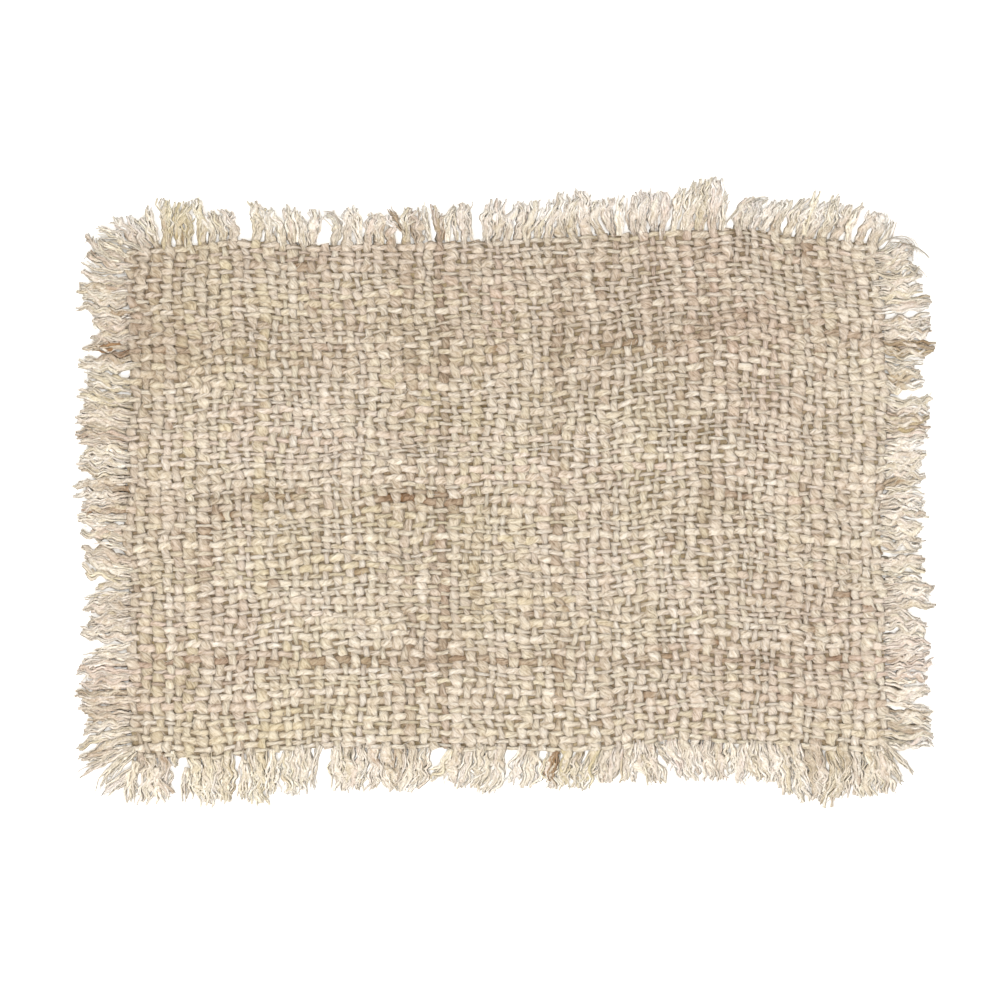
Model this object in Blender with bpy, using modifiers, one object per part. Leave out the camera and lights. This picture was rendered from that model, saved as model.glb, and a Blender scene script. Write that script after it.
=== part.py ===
"""A hand-woven placemat of coarse bast yarn, lying flat, with a raw fringe on all four sides.

The woven cloth is one thin sheet with soft low ripples. Along each side the outermost yarns of the weave
form a narrow strip. The ends of the yarns that cross it stand out of the strip as a fringe, gathered in
uneven locks.

The origin is under the middle of the mat, on the surface that it lies on. +X runs along the long side, +Y
towards the upper side of the mat, and +Z up.
"""

import math
from collections import namedtuple

import bmesh
import bpy
from mathutils import Vector

MM = 0.001

# The woven field, at the middle of its sides.
FIELD_LENGTH = 449 * MM
FIELD_WIDTH = 304 * MM
CLOTH_THICKNESS = 3.0 * MM
CLOTH_COLUMNS = 48
CLOTH_ROWS = 32
SETTLING_ROUNDS = 4

# The strips of outermost yarns, and the gap that parts them from the cloth and from each other.
STRIP_WIDTH = 4.4 * MM
STRIP_HEIGHT = 3.0 * MM
PARTING = 0.4 * MM

# The warp runs along Y and ends in the upper and lower fringes. The weft runs along X and ends in the others.
WARP_ENDS = 66
WEFT_PICKS = 70
WARP_HALF_WIDTH = 2.4 * MM
WEFT_HALF_WIDTH = 1.6 * MM

# A fringe strand: it thins from its root to its tip, it leans more towards the tip, and it wavers a little.
STRAND_STEPS = 4
TIP_SHARE_OF_WIDTH = 0.55
ROOT_HEIGHT = 2.4 * MM
TIP_HEIGHT = 1.0 * MM
LEAN_POWER = 1.5
WAVER_SHARE_OF_WIDTH = 0.2
SHORTEST_SHARE = 0.9
REACH_SPREAD = 0.07
UNEVEN_STEP = 2.4

CLOTH_COLOUR = (0.597, 0.497, 0.376, 1.0)
FRINGE_COLOUR = (0.672, 0.578, 0.445, 1.0)
YARN_ROUGHNESS = 0.9

# Every table below is in millimetres. "along" is X on the upper and lower sides and Y on the other two.
Bow = namedtuple("Bow", "along outwards")
Lock = namedtuple("Lock", "root_from root_to tip_from tip_to reach")
Ripple = namedtuple("Ripple", "x y long_radius short_radius turn_degrees rise")
Side = namedtuple("Side", "name bows locks half_depth yarns half_width upright sign")
Strand = namedtuple("Strand", "number root lean reach")

# How far each woven edge bows out of straight.
TOP_BOWS = (
    Bow(-224, -7),
    Bow(-198, -6),
    Bow(-157, -2),
    Bow(-118, -5),
    Bow(-60, -4),
    Bow(9, -2),
    Bow(60, 1),
    Bow(104, 3),
    Bow(138, 5),
    Bow(184, -1),
    Bow(221, -4),
)
BOTTOM_BOWS = (
    Bow(-223, 5),
    Bow(-181, 6),
    Bow(-104, 1),
    Bow(-26, 1),
    Bow(50, 2),
    Bow(104, -4),
    Bow(152, -2),
    Bow(205, 2),
)
LEFT_BOWS = (
    Bow(-157, -2),
    Bow(-124, -1),
    Bow(-76, -2),
    Bow(-29, 0),
    Bow(19, 1),
    Bow(72, -2),
    Bow(126, 0),
)
RIGHT_BOWS = (
    Bow(-154, 1),
    Bow(-112, 3),
    Bow(-65, 1),
    Bow(-17, 0),
    Bow(40, 2),
    Bow(90, 1),
    Bow(140, -4),
)

# The locks of each fringe: where their yarns leave the weave, where the tips lie, and how far out they reach.
TOP_LOCKS = (
    Lock(-223, -204, -233, -210, 18),
    Lock(-203, -177, -203, -181, 26),
    Lock(-176, -157, -179, -169, 17),
    Lock(-149, -140, -152, -144, 21),
    Lock(-136, -111, -140, -114, 20),
    Lock(-103, -87, -107, -91, 20),
    Lock(-86, -64, -87, -69, 17),
    Lock(-64, -50, -67, -52, 20),
    Lock(-42, -33, -47, -39, 21),
    Lock(-30, -19, -31, -21, 22),
    Lock(-13, 24, -9, 30, 22),
    Lock(28, 49, 33, 49, 25),
    Lock(53, 68, 52, 70, 21),
    Lock(72, 102, 78, 101, 24),
    Lock(103, 125, 107, 132, 29),
    Lock(131, 163, 142, 167, 17),
    Lock(163, 203, 169, 209, 21),
    Lock(205, 222, 212, 234, 18),
)
BOTTOM_LOCKS = (
    Lock(-224, -217, -243, -236, 23),
    Lock(-216, -199, -221, -200, 27),
    Lock(-189, -183, -191, -187, 25),
    Lock(-182, -162, -183, -164, 27),
    Lock(-157, -138, -157, -137, 28),
    Lock(-136, -111, -133, -113, 25),
    Lock(-100, -75, -105, -77, 24),
    Lock(-74, -55, -73, -59, 24),
    Lock(-54, -44, -58, -50, 23),
    Lock(-34, -21, -41, -22, 22),
    Lock(-20, -1, -19, -2, 24),
    Lock(9, 23, 4, 20, 21),
    Lock(28, 56, 24, 54, 22),
    Lock(57, 81, 61, 81, 20),
    Lock(82, 91, 87, 96, 22),
    Lock(97, 132, 105, 132, 22),
    Lock(139, 165, 142, 166, 22),
    Lock(166, 203, 166, 201, 31),
    Lock(205, 226, 204, 231, 27),
)
LEFT_LOCKS = (
    Lock(-158, -139, -172, -147, 29),
    Lock(-138, -127, -142, -129, 27),
    Lock(-126, -119, -125, -121, 31),
    Lock(-119, -95, -117, -96, 29),
    Lock(-92, -84, -88, -81, 28),
    Lock(-82, -60, -79, -61, 26),
    Lock(-59, -54, -56, -52, 21),
    Lock(-53, -36, -45, -32, 25),
    Lock(-26, -5, -26, -6, 27),
    Lock(-4, 5, -2, 4, 29),
    Lock(6, 30, 8, 30, 27),
    Lock(30, 58, 32, 59, 28),
    Lock(59, 68, 63, 75, 26),
    Lock(71, 80, 77, 84, 28),
    Lock(81, 93, 85, 95, 21),
    Lock(94, 106, 96, 108, 21),
    Lock(106, 129, 111, 132, 28),
    Lock(130, 139, 137, 150, 24),
)
RIGHT_LOCKS = (
    Lock(-151, -126, -153, -128, 28),
    Lock(-124, -114, -122, -115, 25),
    Lock(-113, -92, -112, -93, 26),
    Lock(-92, -72, -90, -77, 24),
    Lock(-70, -49, -69, -50, 28),
    Lock(-48, -36, -47, -37, 25),
    Lock(-34, -18, -32, -19, 24),
    Lock(-18, -4, -16, -5, 25),
    Lock(0, 21, 3, 20, 23),
    Lock(22, 30, 22, 30, 22),
    Lock(30, 50, 33, 50, 25),
    Lock(50, 56, 53, 57, 26),
    Lock(63, 76, 65, 75, 23),
    Lock(79, 88, 81, 90, 30),
    Lock(88, 102, 92, 103, 26),
    Lock(105, 114, 108, 115, 29),
    Lock(115, 128, 118, 129, 25),
    Lock(129, 142, 132, 145, 22),
)

# Where the cloth lifts a little off the surface. Between the ripples its underside is flat.
RIPPLES = (
    Ripple(128, 92, 74, 40, 15, 2.2),
    Ripple(-72, 6, 62, 22, 0, 1.4),
    Ripple(0, -94, 120, 30, 6, 1.7),
    Ripple(-158, 66, 50, 34, -20, 1.5),
    Ripple(158, -66, 52, 34, 30, 1.6),
)

# Each side: its outline and locks, how far its straight line lies from the middle, and its yarns.
ACROSS_WARP = (FIELD_WIDTH / 2, WARP_ENDS, WARP_HALF_WIDTH, True)
ACROSS_WEFT = (FIELD_LENGTH / 2, WEFT_PICKS, WEFT_HALF_WIDTH, False)
TOP = Side("top", TOP_BOWS, TOP_LOCKS, *ACROSS_WARP, sign=1)
BOTTOM = Side("bottom", BOTTOM_BOWS, BOTTOM_LOCKS, *ACROSS_WARP, sign=-1)
LEFT = Side("left", LEFT_BOWS, LEFT_LOCKS, *ACROSS_WEFT, sign=-1)
RIGHT = Side("right", RIGHT_BOWS, RIGHT_LOCKS, *ACROSS_WEFT, sign=1)


def between(low, high, share):
    """The value that lies this share of the way from low to high."""
    return low + (high - low) * share


def uneven(number):
    """A value from -1 to 1 that jumps about from one whole number to the next."""
    return math.sin(UNEVEN_STEP * number)


def edge(side, along):
    """How far a woven edge lies from the middle of the mat, read smoothly from its bows."""
    bows = side.bows
    if along <= bows[0].along * MM:
        return side.half_depth + bows[0].outwards * MM
    for low, high in zip(bows, bows[1:]):
        if along <= high.along * MM:
            share = (along - low.along * MM) / ((high.along - low.along) * MM)
            eased = share * share * (3 - 2 * share)
            return side.half_depth + between(low.outwards, high.outwards, eased) * MM
    return side.half_depth + bows[-1].outwards * MM


def place(side, along, out, height):
    """The point at a distance along a side, out from the middle of the mat, and up from the surface."""
    if side.upright:
        return Vector((along, side.sign * out, height))
    return Vector((side.sign * out, along, height))


def along_of(side, point):
    """How far along its side a point lies."""
    return point.x if side.upright else point.y


def lift(x, y):
    """How far the cloth's underside rises off the surface at a point."""
    height = 0.0
    for ripple in RIPPLES:
        turn = math.radians(ripple.turn_degrees)
        east = x / MM - ripple.x
        north = y / MM - ripple.y
        length_share = (east * math.cos(turn) + north * math.sin(turn)) / ripple.long_radius
        width_share = (north * math.cos(turn) - east * math.sin(turn)) / ripple.short_radius
        inside = max(0.0, 1 - length_share**2 - width_share**2)
        height += ripple.rise * MM * inside**2
    return height


def cloth_point(across, up):
    """The point of the cloth's underside at shares of its length and width, each from 0 to 1."""
    inset = STRIP_WIDTH + PARTING
    x = between(-FIELD_LENGTH / 2, FIELD_LENGTH / 2, across)
    y = between(-FIELD_WIDTH / 2, FIELD_WIDTH / 2, up)
    for _ in range(SETTLING_ROUNDS):
        x = between(inset - edge(LEFT, y), edge(RIGHT, y) - inset, across)
        y = between(inset - edge(BOTTOM, x), edge(TOP, x) - inset, up)
    return Vector((x, y, lift(x, y)))


def field_ends(side):
    """Where the woven field starts and stops along a side."""
    low, high = (LEFT, RIGHT) if side.upright else (BOTTOM, TOP)
    corner = side.sign * side.half_depth
    return -edge(low, corner), edge(high, corner)


def strip_ends(side):
    """Where a side's strip starts and stops. The left and right strips fit between the other two."""
    start, end = field_ends(side)
    inset = 0.0 if side.upright else STRIP_WIDTH + PARTING
    return start + inset, end - inset


def strands_of(side):
    """The yarn ends that show on a side: each leaves the weave at its own pitch and lies in its lock."""
    start, end = field_ends(side)
    pitch = (end - start) / side.yarns
    strip_start, strip_end = strip_ends(side)
    strands = []
    for number in range(side.yarns):
        root = start + (number + 0.5) * pitch
        fits_strip = strip_start + side.half_width < root < strip_end - side.half_width
        for lock in side.locks:
            if fits_strip and lock.root_from * MM <= root < lock.root_to * MM:
                share = (root / MM - lock.root_from) / (lock.root_to - lock.root_from)
                tip = between(lock.tip_from, lock.tip_to, share) * MM
                reach = lock.reach * MM * (SHORTEST_SHARE + REACH_SPREAD * (1 + uneven(number)))
                strands.append(Strand(number, root, tip - root, reach))
    return strands


def strip_with_roots(side, strands):
    """A side's strip of outermost yarns as a mesh, and the face from which each strand grows."""
    start, end = strip_ends(side)
    low_sides = [strand.root - side.half_width for strand in strands]
    high_sides = [strand.root + side.half_width for strand in strands]
    cuts = sorted([start, end] + low_sides + high_sides)
    columns = len(cuts) - 1

    mesh = bmesh.new()
    bmesh.ops.create_grid(mesh, x_segments=columns, y_segments=1, size=0.5)
    raised = bmesh.ops.extrude_face_region(mesh, geom=mesh.faces[:])
    for item in raised["geom"]:
        if isinstance(item, bmesh.types.BMVert):
            item.co.z = STRIP_HEIGHT

    # The outer wall has one face for each column, and every second column is a root.
    outer = [face for face in mesh.faces if all(vertex.co.y > 0 for vertex in face.verts)]
    outer.sort(key=lambda face: face.calc_center_median().x)
    roots = outer[1::2]

    for vertex in mesh.verts:
        along = cuts[round((vertex.co.x + 0.5) * columns)]
        inset = 0.0 if vertex.co.y > 0 else STRIP_WIDTH
        vertex.co = place(side, along, edge(side, along) - inset, vertex.co.z)
    return mesh, roots


def grow_strand(mesh, root, side, strand):
    """Pulls a face of the strip out into one strand, a section at a time. Its underside stays level."""
    start = edge(side, strand.root)
    for step in range(1, STRAND_STEPS + 1):
        share = step / STRAND_STEPS
        waver = WAVER_SHARE_OF_WIDTH * side.half_width * uneven(STRAND_STEPS * strand.number + step)
        middle = strand.root + strand.lean * share**LEAN_POWER + waver
        out = start + strand.reach * share
        slope = strand.lean * LEAN_POWER * share ** (LEAN_POWER - 1)
        direction = Vector((strand.reach, -slope)).normalized()
        half_width = side.half_width * between(1, TIP_SHARE_OF_WIDTH, share)
        height = between(ROOT_HEIGHT, TIP_HEIGHT, share)

        centre = root.calc_center_median()
        root = bmesh.ops.extrude_discrete_faces(mesh, faces=[root])["faces"][0]
        for vertex in root.verts:
            edge_sign = 1 if along_of(side, vertex.co) > along_of(side, centre) else -1
            is_upper = vertex.co.z > centre.z
            vertex.co = place(
                side,
                middle + edge_sign * half_width * direction.x,
                out + edge_sign * half_width * direction.y,
                height if is_upper else 0.0,
            )


def yarn_material(name, colour):
    """A dull, rough finish of natural yarn."""
    material = bpy.data.materials.new(name)
    material.use_nodes = True
    shader = material.node_tree.nodes["Principled BSDF"]
    shader.inputs["Base Color"].default_value = colour
    shader.inputs["Roughness"].default_value = YARN_ROUGHNESS
    shader.inputs["Metallic"].default_value = 0.0
    return material


def add_object(name, mesh, material, collection, parent):
    """Turns a bmesh into a named object of the placemat."""
    data = bpy.data.meshes.new(name)
    mesh.to_mesh(data)
    mesh.free()
    data.materials.append(material)
    piece = bpy.data.objects.new(name, data)
    collection.objects.link(piece)
    piece.parent = parent
    return piece


def make_cloth(collection, parent):
    """The woven field: one sheet with soft ripples, given its thickness upwards from its underside."""
    mesh = bmesh.new()
    bmesh.ops.create_grid(mesh, x_segments=CLOTH_COLUMNS, y_segments=CLOTH_ROWS, size=0.5)
    for vertex in mesh.verts:
        vertex.co = cloth_point(vertex.co.x + 0.5, vertex.co.y + 0.5)
    cloth = add_object("cloth", mesh, yarn_material("woven bast yarn", CLOTH_COLOUR), collection, parent)
    cloth.data.shade_smooth()
    thickness = cloth.modifiers.new("thickness", "SOLIDIFY")
    thickness.thickness = CLOTH_THICKNESS
    thickness.offset = 1.0
    return cloth


def make_fringe(side, collection, parent):
    """One side's strip of outermost yarns, with its strands."""
    strands = strands_of(side)
    mesh, roots = strip_with_roots(side, strands)
    for strand, root in zip(strands, roots):
        grow_strand(mesh, root, side, strand)
    bmesh.ops.recalc_face_normals(mesh, faces=mesh.faces[:])
    name = "fringe_" + side.name
    return add_object(name, mesh, yarn_material(name + " yarn", FRINGE_COLOUR), collection, parent)


def main():
    """Builds the placemat in a collection of its own."""
    for leftover in list(bpy.data.objects):
        bpy.data.objects.remove(leftover)
    collection = bpy.data.collections.new("placemat")
    bpy.context.scene.collection.children.link(collection)
    placemat = bpy.data.objects.new("placemat", None)
    collection.objects.link(placemat)
    make_cloth(collection, placemat)
    for side in (TOP, BOTTOM, LEFT, RIGHT):
        make_fringe(side, collection, placemat)


main()
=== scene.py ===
"""The looks of a hand-woven bast placemat: its yarns, fringe, loose fibres, finishes, light and camera.

The mat is one loose plain weave of hand-spun yarn, laid flat, with its yarn ends left as a raw fringe on
every side. Each yarn is modelled as a flattened tube that goes over and under the yarns that it crosses, and
follows the outline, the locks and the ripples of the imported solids. The tables of those forms repeat the
part's own.

The origin is under the middle of the mat, on the surface that it lies on. +X runs along the long side, +Y
towards the upper side of the mat, and +Z up. Tables are in millimetres, and everything else is in metres.
"""

import logging
import math
from collections.abc import Mapping, Sequence
from dataclasses import dataclass, field, replace
from enum import Enum
from typing import NamedTuple

import bpy
import numpy as np
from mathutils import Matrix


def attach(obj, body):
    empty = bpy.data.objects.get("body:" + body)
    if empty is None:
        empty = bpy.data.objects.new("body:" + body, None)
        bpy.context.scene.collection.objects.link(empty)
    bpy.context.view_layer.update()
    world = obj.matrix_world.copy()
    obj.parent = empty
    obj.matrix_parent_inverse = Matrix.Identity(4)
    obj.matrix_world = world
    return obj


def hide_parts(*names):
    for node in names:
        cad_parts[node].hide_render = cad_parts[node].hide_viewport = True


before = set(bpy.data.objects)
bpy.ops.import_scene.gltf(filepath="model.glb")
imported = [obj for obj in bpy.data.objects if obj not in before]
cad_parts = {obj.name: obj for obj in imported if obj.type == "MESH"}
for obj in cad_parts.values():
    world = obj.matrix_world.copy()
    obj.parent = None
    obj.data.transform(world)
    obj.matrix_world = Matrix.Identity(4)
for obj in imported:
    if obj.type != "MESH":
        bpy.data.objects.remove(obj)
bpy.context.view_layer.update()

LOG = logging.getLogger("placemat")

Array = np.ndarray
Colour = tuple[float, float, float, float]

MM = 0.001
BODY = "root"
BAKE_MAP = "OFBake"

# Random values further out than this, counted in spreads, are drawn in.
OUTLIER = 2.0
# How many sections of a tube each lump of its spun fibre spans.
LUMP_LENGTH = 0.8
# How far apart two tubes read the pattern of fibres, so that no two show the same.
PATTERN_STEP = 17.0

# Each tube has a cell of the flat map: its wall lies within these margins, and its caps beside it.
WALL_LENGTH = (0.03, 0.97)
WALL_GIRTH = (0.04, 0.96)
CAP_MIDDLES = (0.012, 0.988)
CAP_LENGTH = 0.01
CAP_GIRTH = 0.4

# The woven field, at the middle of its sides, and the count of its yarns.
FIELD_LENGTH = 449 * MM
FIELD_WIDTH = 304 * MM
CLOTH_THICKNESS = 3.0 * MM
SETTLING_ROUNDS = 4
WARP_ENDS = 66
WEFT_PICKS = 70
WARP_PITCH = FIELD_LENGTH / WARP_ENDS
WEFT_PITCH = FIELD_WIDTH / WEFT_PICKS

# The solids' fringe strands: only the yarns that leave the weave clear of the strips' ends have one.
STRIP_INSET = 4.8 * MM
WARP_STRAND_HALF_WIDTH = 2.4 * MM
WEFT_STRAND_HALF_WIDTH = 1.6 * MM
LEAN_POWER = 1.5
SHORTEST_SHARE = 0.9
REACH_SPREAD = 0.07
UNEVEN_STEP = 2.4


class Direction(Enum):
    """The two directions of the weave: the warp runs along Y, the weft along X."""

    WARP = "warp"
    WEFT = "weft"


class Bow(NamedTuple):
    """How far a woven edge bows out of straight at one place along it, in millimetres."""

    along: float
    outwards: float


class Lock(NamedTuple):
    """One lock of a fringe: where its yarns leave the weave, where the tips lie, and how far they reach."""

    root_from: float
    root_to: float
    tip_from: float
    tip_to: float
    reach: float


class Ripple(NamedTuple):
    """A low oval rise of the cloth off the surface, in millimetres."""

    x: float
    y: float
    long_radius: float
    short_radius: float
    turn_degrees: float
    rise: float


class Swell(NamedTuple):
    """A place where the weft is pushed towards the upper side within the plane, in millimetres."""

    x: float
    y: float
    long_radius: float
    short_radius: float
    push: float


class Thinning(NamedTuple):
    """A loose area of the cloth: its middle, its radii and the share of their width that the yarns lose."""

    x: float
    y: float
    long_radius: float
    short_radius: float
    share: float


class Sway(NamedTuple):
    """A slow wave of the yarns within the plane: its lengths along X and Y, where it starts, and its push."""

    length_x: float
    length_y: float
    start: float
    sideways: float
    upwards: float


class Streak(NamedTuple):
    """A stretch of yarn of another colour, from one point to another, in millimetres."""

    x_from: float
    y_from: float
    x_to: float
    y_to: float
    half_width: float
    bark: float
    tone: float


class Zone(NamedTuple):
    """A soft oval part of the mat that is paler or darker than the rest, in millimetres."""

    x: float
    y: float
    long_radius: float
    short_radius: float
    tone: float
    hue: float


class Accent(NamedTuple):
    """Fringe yarns of another colour, by where their tips lie along the side, in millimetres."""

    tip_from: float
    tip_to: float
    bark: float
    tone: float
    hue: float


class Stray(NamedTuple):
    """A yarn end that lies apart from the locks: its root, its middle and its tip, in millimetres."""

    x_root: float
    y_root: float
    x_middle: float
    y_middle: float
    x_tip: float
    y_tip: float
    half_width: float
    bark: float


TOP_BOWS = (
    Bow(-224, -7),
    Bow(-198, -6),
    Bow(-157, -2),
    Bow(-118, -5),
    Bow(-60, -4),
    Bow(9, -2),
    Bow(60, 1),
    Bow(104, 3),
    Bow(138, 5),
    Bow(184, -1),
    Bow(221, -4),
)
BOTTOM_BOWS = (
    Bow(-223, 5),
    Bow(-181, 6),
    Bow(-104, 1),
    Bow(-26, 1),
    Bow(50, 2),
    Bow(104, -4),
    Bow(152, -2),
    Bow(205, 2),
)
LEFT_BOWS = (
    Bow(-157, -2),
    Bow(-124, -1),
    Bow(-76, -2),
    Bow(-29, 0),
    Bow(19, 1),
    Bow(72, -2),
    Bow(126, 0),
)
RIGHT_BOWS = (
    Bow(-154, 1),
    Bow(-112, 3),
    Bow(-65, 1),
    Bow(-17, 0),
    Bow(40, 2),
    Bow(90, 1),
    Bow(140, -4),
)

TOP_LOCKS = (
    Lock(-223, -204, -233, -210, 18),
    Lock(-203, -177, -203, -181, 26),
    Lock(-176, -157, -179, -169, 17),
    Lock(-149, -140, -152, -144, 21),
    Lock(-136, -111, -140, -114, 20),
    Lock(-103, -87, -107, -91, 20),
    Lock(-86, -64, -87, -69, 17),
    Lock(-64, -50, -67, -52, 20),
    Lock(-42, -33, -47, -39, 21),
    Lock(-30, -19, -31, -21, 22),
    Lock(-13, 24, -9, 30, 22),
    Lock(28, 49, 33, 49, 25),
    Lock(53, 68, 52, 70, 21),
    Lock(72, 102, 78, 101, 24),
    Lock(103, 125, 107, 132, 29),
    Lock(131, 163, 142, 167, 17),
    Lock(163, 203, 169, 209, 21),
    Lock(205, 222, 212, 234, 18),
)
BOTTOM_LOCKS = (
    Lock(-224, -217, -243, -236, 23),
    Lock(-216, -199, -221, -200, 27),
    Lock(-189, -183, -191, -187, 25),
    Lock(-182, -162, -183, -164, 27),
    Lock(-157, -138, -157, -137, 28),
    Lock(-136, -111, -133, -113, 25),
    Lock(-100, -75, -105, -77, 24),
    Lock(-74, -55, -73, -59, 24),
    Lock(-54, -44, -58, -50, 23),
    Lock(-34, -21, -41, -22, 22),
    Lock(-20, -1, -19, -2, 24),
    Lock(9, 23, 4, 20, 21),
    Lock(28, 56, 24, 54, 22),
    Lock(57, 81, 61, 81, 20),
    Lock(82, 91, 87, 96, 22),
    Lock(97, 132, 105, 132, 22),
    Lock(139, 165, 142, 166, 22),
    Lock(166, 203, 166, 201, 31),
    Lock(205, 226, 204, 231, 27),
)
LEFT_LOCKS = (
    Lock(-158, -139, -172, -147, 29),
    Lock(-138, -127, -142, -129, 27),
    Lock(-126, -119, -125, -121, 31),
    Lock(-119, -95, -117, -96, 29),
    Lock(-92, -84, -88, -81, 28),
    Lock(-82, -60, -79, -61, 26),
    Lock(-59, -54, -56, -52, 21),
    Lock(-53, -36, -45, -32, 25),
    Lock(-26, -5, -26, -6, 27),
    Lock(-4, 5, -2, 4, 29),
    Lock(6, 30, 8, 30, 27),
    Lock(30, 58, 32, 59, 28),
    Lock(59, 68, 63, 75, 26),
    Lock(71, 80, 77, 84, 28),
    Lock(81, 93, 85, 95, 21),
    Lock(94, 106, 96, 108, 21),
    Lock(106, 129, 111, 132, 28),
    Lock(130, 139, 137, 150, 24),
)
RIGHT_LOCKS = (
    Lock(-151, -126, -153, -128, 28),
    Lock(-124, -114, -122, -115, 25),
    Lock(-113, -92, -112, -93, 26),
    Lock(-92, -72, -90, -77, 24),
    Lock(-70, -49, -69, -50, 28),
    Lock(-48, -36, -47, -37, 25),
    Lock(-34, -18, -32, -19, 24),
    Lock(-18, -4, -16, -5, 25),
    Lock(0, 21, 3, 20, 23),
    Lock(22, 30, 22, 30, 22),
    Lock(30, 50, 33, 50, 25),
    Lock(50, 56, 53, 57, 26),
    Lock(63, 76, 65, 75, 23),
    Lock(79, 88, 81, 90, 30),
    Lock(88, 102, 92, 103, 26),
    Lock(105, 114, 108, 115, 29),
    Lock(115, 128, 118, 129, 25),
    Lock(129, 142, 132, 145, 22),
)

RIPPLES = (
    Ripple(128, 92, 74, 40, 15, 2.2),
    Ripple(-72, 6, 62, 22, 0, 1.4),
    Ripple(0, -94, 120, 30, 6, 1.7),
    Ripple(-158, 66, 50, 34, -20, 1.5),
    Ripple(158, -66, 52, 34, 30, 1.6),
)

# The cloth isn't square: the weft lies in long waves, and both directions sway a little.
SWELLS = (
    Swell(131, 102, 50, 60, 5),
    Swell(-50, 1, 71, 24, 3.5),
    Swell(-60, -94, 110, 36, 6),
)
SWELL_FADE = 0.25
SWAYS = (
    Sway(86, 61, 0.4, 0.5, 0.5),
    Sway(-57, 73, 2.1, 0.45, 0.4),
    Sway(43, -118, 4.4, 0.35, 0.5),
    Sway(127, 39, 1.3, 0.4, 0.35),
    Sway(-211, 34, 3.3, 0.3, 0.3),
)

# Where the cloth is looser and its yarns thinner: middle, radii and the share that the yarns lose.
THINNINGS = (
    Thinning(105, 70, 110, 75, 0.08),
    Thinning(110, -60, 110, 60, 0.03),
    Thinning(-100, -40, 90, 50, 0.05),
)

# Tan and brown stretches of single yarns, then single dark flecks.
WEFT_STREAKS = (
    Streak(-223, 141, -104, 139, 5.0, 0.06, -0.08),
    Streak(-223, 98, -20, 97, 4.6, 0.20, -0.08),
    Streak(-20, 97, 215, 97, 6.0, 0.08, -0.05),
    Streak(-223, 84, -60, 84, 3.0, 0.32, -0.11),
    Streak(-200, 77, -38, 76, 3.0, 0.16, -0.08),
    Streak(-223, 68, -30, 67, 4.5, 0.14, -0.06),
    Streak(-30, 67, 215, 67, 4.5, 0.08, -0.05),
    Streak(51, 87, 110, 87, 3.6, 0.38, -0.11),
    Streak(110, 87, 128, 108, 3.2, 0.25, -0.10),
    Streak(128, 108, 217, 90, 3.2, 0.20, -0.09),
    Streak(-76, -3, -24, -4, 3.4, 0.70, -0.16),
    Streak(-240, -2, -211, -2, 3.6, 0.20, -0.10),
    Streak(-157, -2, -122, -2, 3.6, 0.34, -0.14),
    Streak(-217, -8, 211, -9, 8.0, 0.06, -0.05),
    Streak(116, -2, 146, -3, 3.6, 0.32, -0.12),
    Streak(-217, -101, -2, -100, 3.2, 0.42, -0.17),
    Streak(-2, -100, 211, -101, 3.4, 0.22, -0.10),
    Streak(-217, -115, -181, -115, 4.0, 0.30, -0.12),
    Streak(-3, -99, 15, -100, 4.0, 0.28, -0.10),
    Streak(30, -100, 37, -100, 4.0, 0.25, -0.08),
    Streak(107, -100, 114, -100, 4.0, 0.28, -0.08),
    Streak(192, -107, 208, -107, 4.0, 0.25, -0.10),
    Streak(-127, 133, -117, 133, 3.2, 0.35, -0.06),
    Streak(-65, 132, -54, 132, 3.2, 0.30, -0.06),
    Streak(64, 148, 74, 148, 3.2, 0.30, -0.06),
    Streak(152, 151, 165, 151, 3.2, 0.30, -0.06),
)
WARP_STREAKS = (
    Streak(31, 150, 32, -152, 4.2, 0.28, -0.16),
    Streak(-55, 150, -55, -152, 3.6, 0.20, -0.12),
    Streak(-37, 150, -36, -152, 4.0, 0.14, -0.12),
    Streak(118, 150, 118, -60, 3.6, 0.06, -0.06),
    Streak(133, 150, 133, -60, 3.6, 0.06, -0.06),
    Streak(-214, 120, -214, -150, 4.0, 0.08, -0.08),
    Streak(-187, -20, -187, -150, 3.6, 0.08, -0.07),
)
STREAK_END = 5 * MM
# Soft ovals of paler or darker tone and hue. The wide oval over the upper part is painted shade, darker where
# the light falls off towards the top.
ZONES = (
    Zone(-137, 34, 90, 26, 0.05, 0.05),
    Zone(60, 30, 70, 24, 0.05, 0.05),
    Zone(-137, -59, 90, 34, 0.06, 0.00),
    Zone(93, -53, 60, 38, 0.06, 0.05),
    Zone(0, 112, 260, 52, -0.035, -0.12),
    Zone(0, -142, 240, 22, 0.08, 0.10),
    Zone(216, -10, 12, 150, 0.09, 0.00),
    Zone(-212, -20, 22, 160, -0.01, 0.00),
)

TOP_ACCENTS = (
    Accent(-203, -182, 0.08, 0.00, 0.75),
    Accent(-70, -66, 0.55, -0.12, 0.00),
    Accent(-60, -54, 0.40, -0.08, 0.00),
    Accent(-47, -40, 0.35, -0.05, 0.20),
    Accent(106, 126, 0.05, 0.06, 0.60),
)
BOTTOM_ACCENTS = (
    Accent(20, 25, 0.55, -0.12, -0.20),
    Accent(33, 56, 0.08, 0.00, 0.60),
    Accent(180, 202, 0.22, -0.04, 0.20),
)
LEFT_ACCENTS = (
    Accent(84, 88, 0.50, -0.16, 0.00),
    Accent(-124, -121, 0.40, -0.12, 0.00),
    Accent(28, 40, 0.25, -0.06, 0.10),
    Accent(-16, -12, 0.35, -0.10, 0.00),
)
RIGHT_ACCENTS = (
    Accent(81, 90, 0.45, -0.14, 0.45),
    Accent(66, 71, 0.40, -0.10, 0.10),
    Accent(39, 50, 0.38, -0.14, 0.50),
    Accent(-133, -128, 0.40, -0.10, 0.00),
    Accent(-143, -139, 0.38, -0.10, 0.00),
    Accent(-61, -55, 0.30, -0.05, 0.00),
)

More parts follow.
